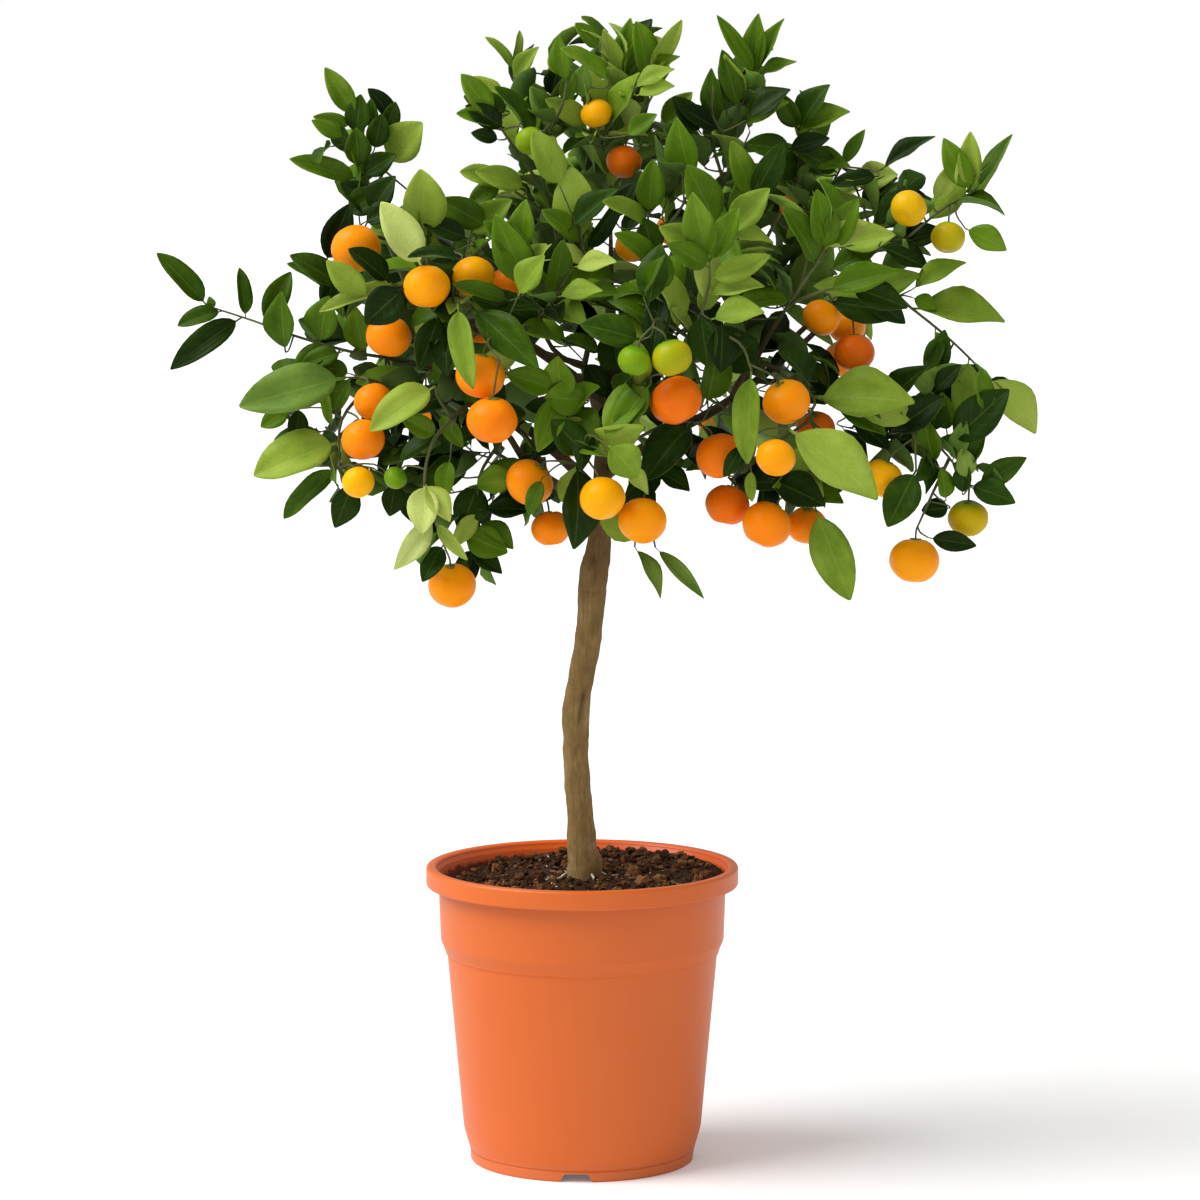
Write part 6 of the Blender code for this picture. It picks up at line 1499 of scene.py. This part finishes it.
def tuft_routes(shoot, routes, chance):
    """Short side twigs that fill a shoot, outwards and round its stems."""
    tufts = []
    for i in range(shoot["tufts"]):
        route = routes[i % len(routes)]
        base, along = along_route(route, chance.uniform(0.2, 0.95))
        outward = out_of_crown(base)
        direction = (along * 0.3 + outward * 0.35 + any_way(chance, 1.0)).normalized()
        reach = chance.uniform(*TUFT_LENGTHS) * CM
        end = base + direction * reach + UP * 0.15 * reach
        tufts.append(smooth_route([base, base.lerp(end, 0.5) - UP * 0.06 * reach, end], 3))
    return tufts


def deep_tufts(shoot_routes):
    """The twigs of the crown's deep tufts, under the name of the shoot that carries each."""
    places = route_places(shoot_routes, 8)
    tufts = {name: [] for name in shoot_routes}
    for tip in vectors(DEEP_TUFTS):
        start, name = nearest(places, tip)
        middle = start.lerp(tip, 0.5) - UP * 0.1 * (tip - start).length
        end = tip + out_of_crown(tip) * 1.2 * CM
        tufts[name].append(smooth_route([start, middle, tip, end], 3))
    return tufts


def from_front(place):
    """Where a place stands in the plane of the stem, seen from the front."""
    return EYE + (place - EYE) * (EYE.y / (EYE.y - place.y))


def leaf_points(leaf, shares):
    """Points down a leaf's middle and both sides."""
    base, direction, face, length, width = leaf[:5]
    side = direction.cross(face).normalized() * width * 0.5
    for share in shares:
        middle = base + direction * length * share
        yield middle
        yield middle + side * leaf_half(share)
        yield middle - side * leaf_half(share)


def leaf_clear(leaf, spots):
    """Whether a leaf stands clear of every fruit."""
    return not any((place - centre).length < radius
                   for place in leaf_points(leaf, (0.3, 0.5, 0.7, 0.9, 1.0))
                   for centre, radius in spots)


def leaf_within(leaf, box):
    """Whether a leaf stays inside a box."""
    return all(box[0][k] <= place[k] <= box[1][k]
               for place in leaf_points(leaf, (0.4, 0.7, 1.0)) for k in range(3))


def kept_in_view(spots, listed):
    """Places that no filling leaf hangs before, seen from the front: (x, y, z, radius) rows."""
    shown = [(centre, radius) for centre, radius in spots if centre.y < 0.0]
    for base, direction, _, length, width, _ in listed:
        shown += [(base + direction * length * share, width * SHOWN_WIDTH)
                  for share in (0.3, 0.5, 0.7, 0.85)]
    rows = [(from_front(place).x, place.y, from_front(place).z, radius) for place, radius in shown]
    return np.array(rows + [(x * CM, FAR_BEHIND, z * CM, radius * CM)
                            for x, z, radius in LIGHT_GAPS])


def blocks_view(leaf, shown):
    """Whether a leaf hangs straight before a place that is kept in view."""
    base, direction, _, length, width = leaf[:5]
    for share in (0.3, 0.5, 0.7, 0.9):
        place = base + direction * length * share
        seen = from_front(place)
        off = np.hypot(shown[:, 0] - seen.x, shown[:, 2] - seen.z)
        if ((off < shown[:, 3] + width * COVERING_WIDTH) & (place.y < shown[:, 1])).any():
            return True
    return False


def fitted(leaf, spots):
    """The leaf, or the same leaf swung a little, clear of the fruits; None if it can't be."""
    base, direction, face, length, width, tone = leaf
    side = direction.cross(face).normalized()
    for swing, pitch in SWINGS:
        turned = Matrix.Rotation(math.radians(swing), 3, face) @ direction
        turned = Matrix.Rotation(math.radians(pitch), 3, side) @ turned
        tried = (base, turned, face, length, width, tone)
        if leaf_clear(tried, spots):
            return tried
    return None


def widened(box, margin):
    """A box that is larger by a margin on every side."""
    extra = Vector((margin, margin, margin))
    return (box[0] - extra, box[1] + extra)


def cut_at(route, place):
    """The route as far as a place that lies on it."""
    def off(i):
        return ((place - route[i]).length + (route[i + 1] - place).length
                - (route[i + 1] - route[i]).length)
    nearest = min(range(len(route) - 1), key=off)
    return route[:nearest + 1] + [place]


def grown(leaves, boxes, spots, shown, masters, chance):
    """The leaves of a twig that have room, each with the master that it copies."""
    kept = []
    for leaf in leaves:
        leaf = fitted(leaf, spots)
        if (leaf and all(leaf_within(leaf, box) for box in boxes)
                and not blocks_view(leaf, shown)):
            kept.append((leaf, chance.choice(masters)))
    return kept


def make_shoots(shoot_routes, fruits, hung):
    """Every leafy shoot, with its twigs, leaves and fruit stalks in one piece."""
    leaf_green = waxy_leaf()
    young_wood = green_twig()
    masters = [model_leaf(name, LEAF_ROWS, 2, *form, leaf_green) for name, *form in LEAF_FORMS]
    broad = [model_leaf(name, BROAD_ROWS, 4, *form, leaf_green) for name, *form in BROAD_FORMS]
    spots = [(centre, width / 2.0 * FRUIT_SWELL + 1.0 * MM) for _, centre, width, _, _ in fruits]
    deep = deep_tufts(shoot_routes)
    crown_box = widened((CAD_LOW, CAD_HIGH), CROWN_MARGIN)
    listed, side_twigs = listed_leaves(shoot_routes, spots)
    shown = kept_in_view(spots, sum(listed.values(), []))
    for name, shoot in SHOOTS.items():
        chance = random.Random("leaves " + name)
        routes = shoot_routes[name]
        boxes = (crown_box, widened(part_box("shoot_" + name), SHOOT_MARGIN))
        leaves = [(leaf, chance.choice(broad)) for leaf in listed[name]]
        for index, route in enumerate(routes):
            if index not in shoot.get("bare", ()):
                spiral = spiral_leaves(route, shoot["fill"], chance, FILL_TONES)
                leaves += grown(spiral, boxes, spots, shown, masters, chance)
        tufts = [(route, FILL_TONES, boxes) for route in tuft_routes(shoot, routes, chance)]
        # Deep tufts take darker tones, as painted shade.
        tufts += [(route, DEEP_SHADE_TONES, (crown_box,)) for route in deep[name]]
        twigs = side_twigs[name]
        for route, tones, limits in tufts:
            spiral = spiral_leaves(route, shoot["fill"], chance, tones, TUFT_LEAVES)
            kept = grown(spiral, limits, spots, shown, masters, chance)
            if kept:
                last_leaf, _ = kept[-1]
                twigs.append(cut_at(route, last_leaf[0]))
            leaves += kept
        wood = [tapered(route, TWIG_RADII) for route in routes]
        wood += [tapered(route, SIDE_TWIG_RADII) for route in twigs]
        wood += [stalk for _, carrier, stalk in hung if carrier == name]
        pieces = [rods("twigs", wood, TWIG_SIDES, young_wood)]
        for (base, direction, face, length, width, tone), master in leaves:
            piece = stamp(master, leaf_frame(base, direction, face, length, width))
            # The tone carries painted shade and light, and the grey a painted sheen.
            shade, grey = LEAF_TONES[tone]
            mark(piece.data, "leaf_tone", {0: shade + chance.uniform(-0.06, 0.06), 2: grey})
            pieces.append(piece)
        add(join("foliage_" + name, pieces), "leaf", "shoot_" + name)
    for master in masters + broad:
        bpy.data.objects.remove(master)


# ---------------------------------------------------------------- studio

SUN_FROM = (196.0, 50.0)         # degrees: azimuth from +X, and height above the floor
SUN_STRENGTH = 3.1
SUN_SPREAD = 45.0                # degrees across
FLOOR_SIZE = 60.0                # metres
FLOOR_GLOW = 0.12                # what the camera sees of the floor beyond the light on it
AMBIENT = 0.52
CAMERA_DOWN = 6.55               # degrees below level
CAMERA_LENS = 137.94             # mm, on a sensor 36 mm wide


def make_studio():
    """A white floor that keeps the plant's shadow, a white room, a soft sun and the camera."""
    bpy.ops.mesh.primitive_plane_add(size=FLOOR_SIZE)
    floor = bpy.context.object
    floor.name = "floor"
    material, f, shader = new_material("white_floor", roughness=1.0, specular=0.0)
    seen = f.add("ShaderNodeLightPath", output="Is Camera Ray")
    f.feed(shader["Base Color"], (0.9, 0.9, 0.9, 1.0))
    glow = (FLOOR_GLOW, FLOOR_GLOW, FLOOR_GLOW, 1.0)
    f.feed(shader["Emission Color"], f.mix(seen, (0.0, 0.0, 0.0, 1.0), glow))
    shader["Emission Strength"].default_value = 1.0
    dress(floor, material)

    world = bpy.data.worlds.new("white_room")
    bpy.context.scene.world = world
    world.use_nodes = True
    f = Finish(world.node_tree)
    seen = f.add("ShaderNodeLightPath", output="Is Camera Ray")
    background = world.node_tree.nodes["Background"]
    background.inputs["Color"].default_value = (1.0, 1.0, 1.0, 1.0)
    f.feed(background.inputs["Strength"], AMBIENT + seen * (1.0 - AMBIENT))

    azimuth, height = (math.radians(angle) for angle in SUN_FROM)
    way = Vector((math.cos(azimuth) * math.cos(height), math.sin(azimuth) * math.cos(height),
                  math.sin(height)))
    bpy.ops.object.light_add(type="SUN", location=way * 3.0)
    sun = bpy.context.object
    sun.rotation_euler = way.to_track_quat("Z", "Y").to_euler()
    sun.data.energy = SUN_STRENGTH
    sun.data.angle = math.radians(SUN_SPREAD)

    tilt = math.radians(90.0 - CAMERA_DOWN)
    bpy.ops.object.camera_add(location=EYE, rotation=(tilt, 0.0, 0.0))
    camera = bpy.context.object
    camera.data.sensor_width = 36.0
    camera.data.lens = CAMERA_LENS
    camera.data.clip_end = 100.0
    bpy.context.scene.camera = camera
    bpy.context.scene.view_settings.view_transform = "Standard"


def main():
    make_pot()
    make_soil()
    make_wood()
    shoot_routes = {name: [smooth_route(vectors(points)) for points in shoot["routes"]]
                    for name, shoot in SHOOTS.items()}
    fruits = fruit_list()
    hung = hang_fruits(fruits, shoot_routes)
    make_fruits(fruits, hung)
    make_shoots(shoot_routes, fruits, hung)
    make_studio()


main()
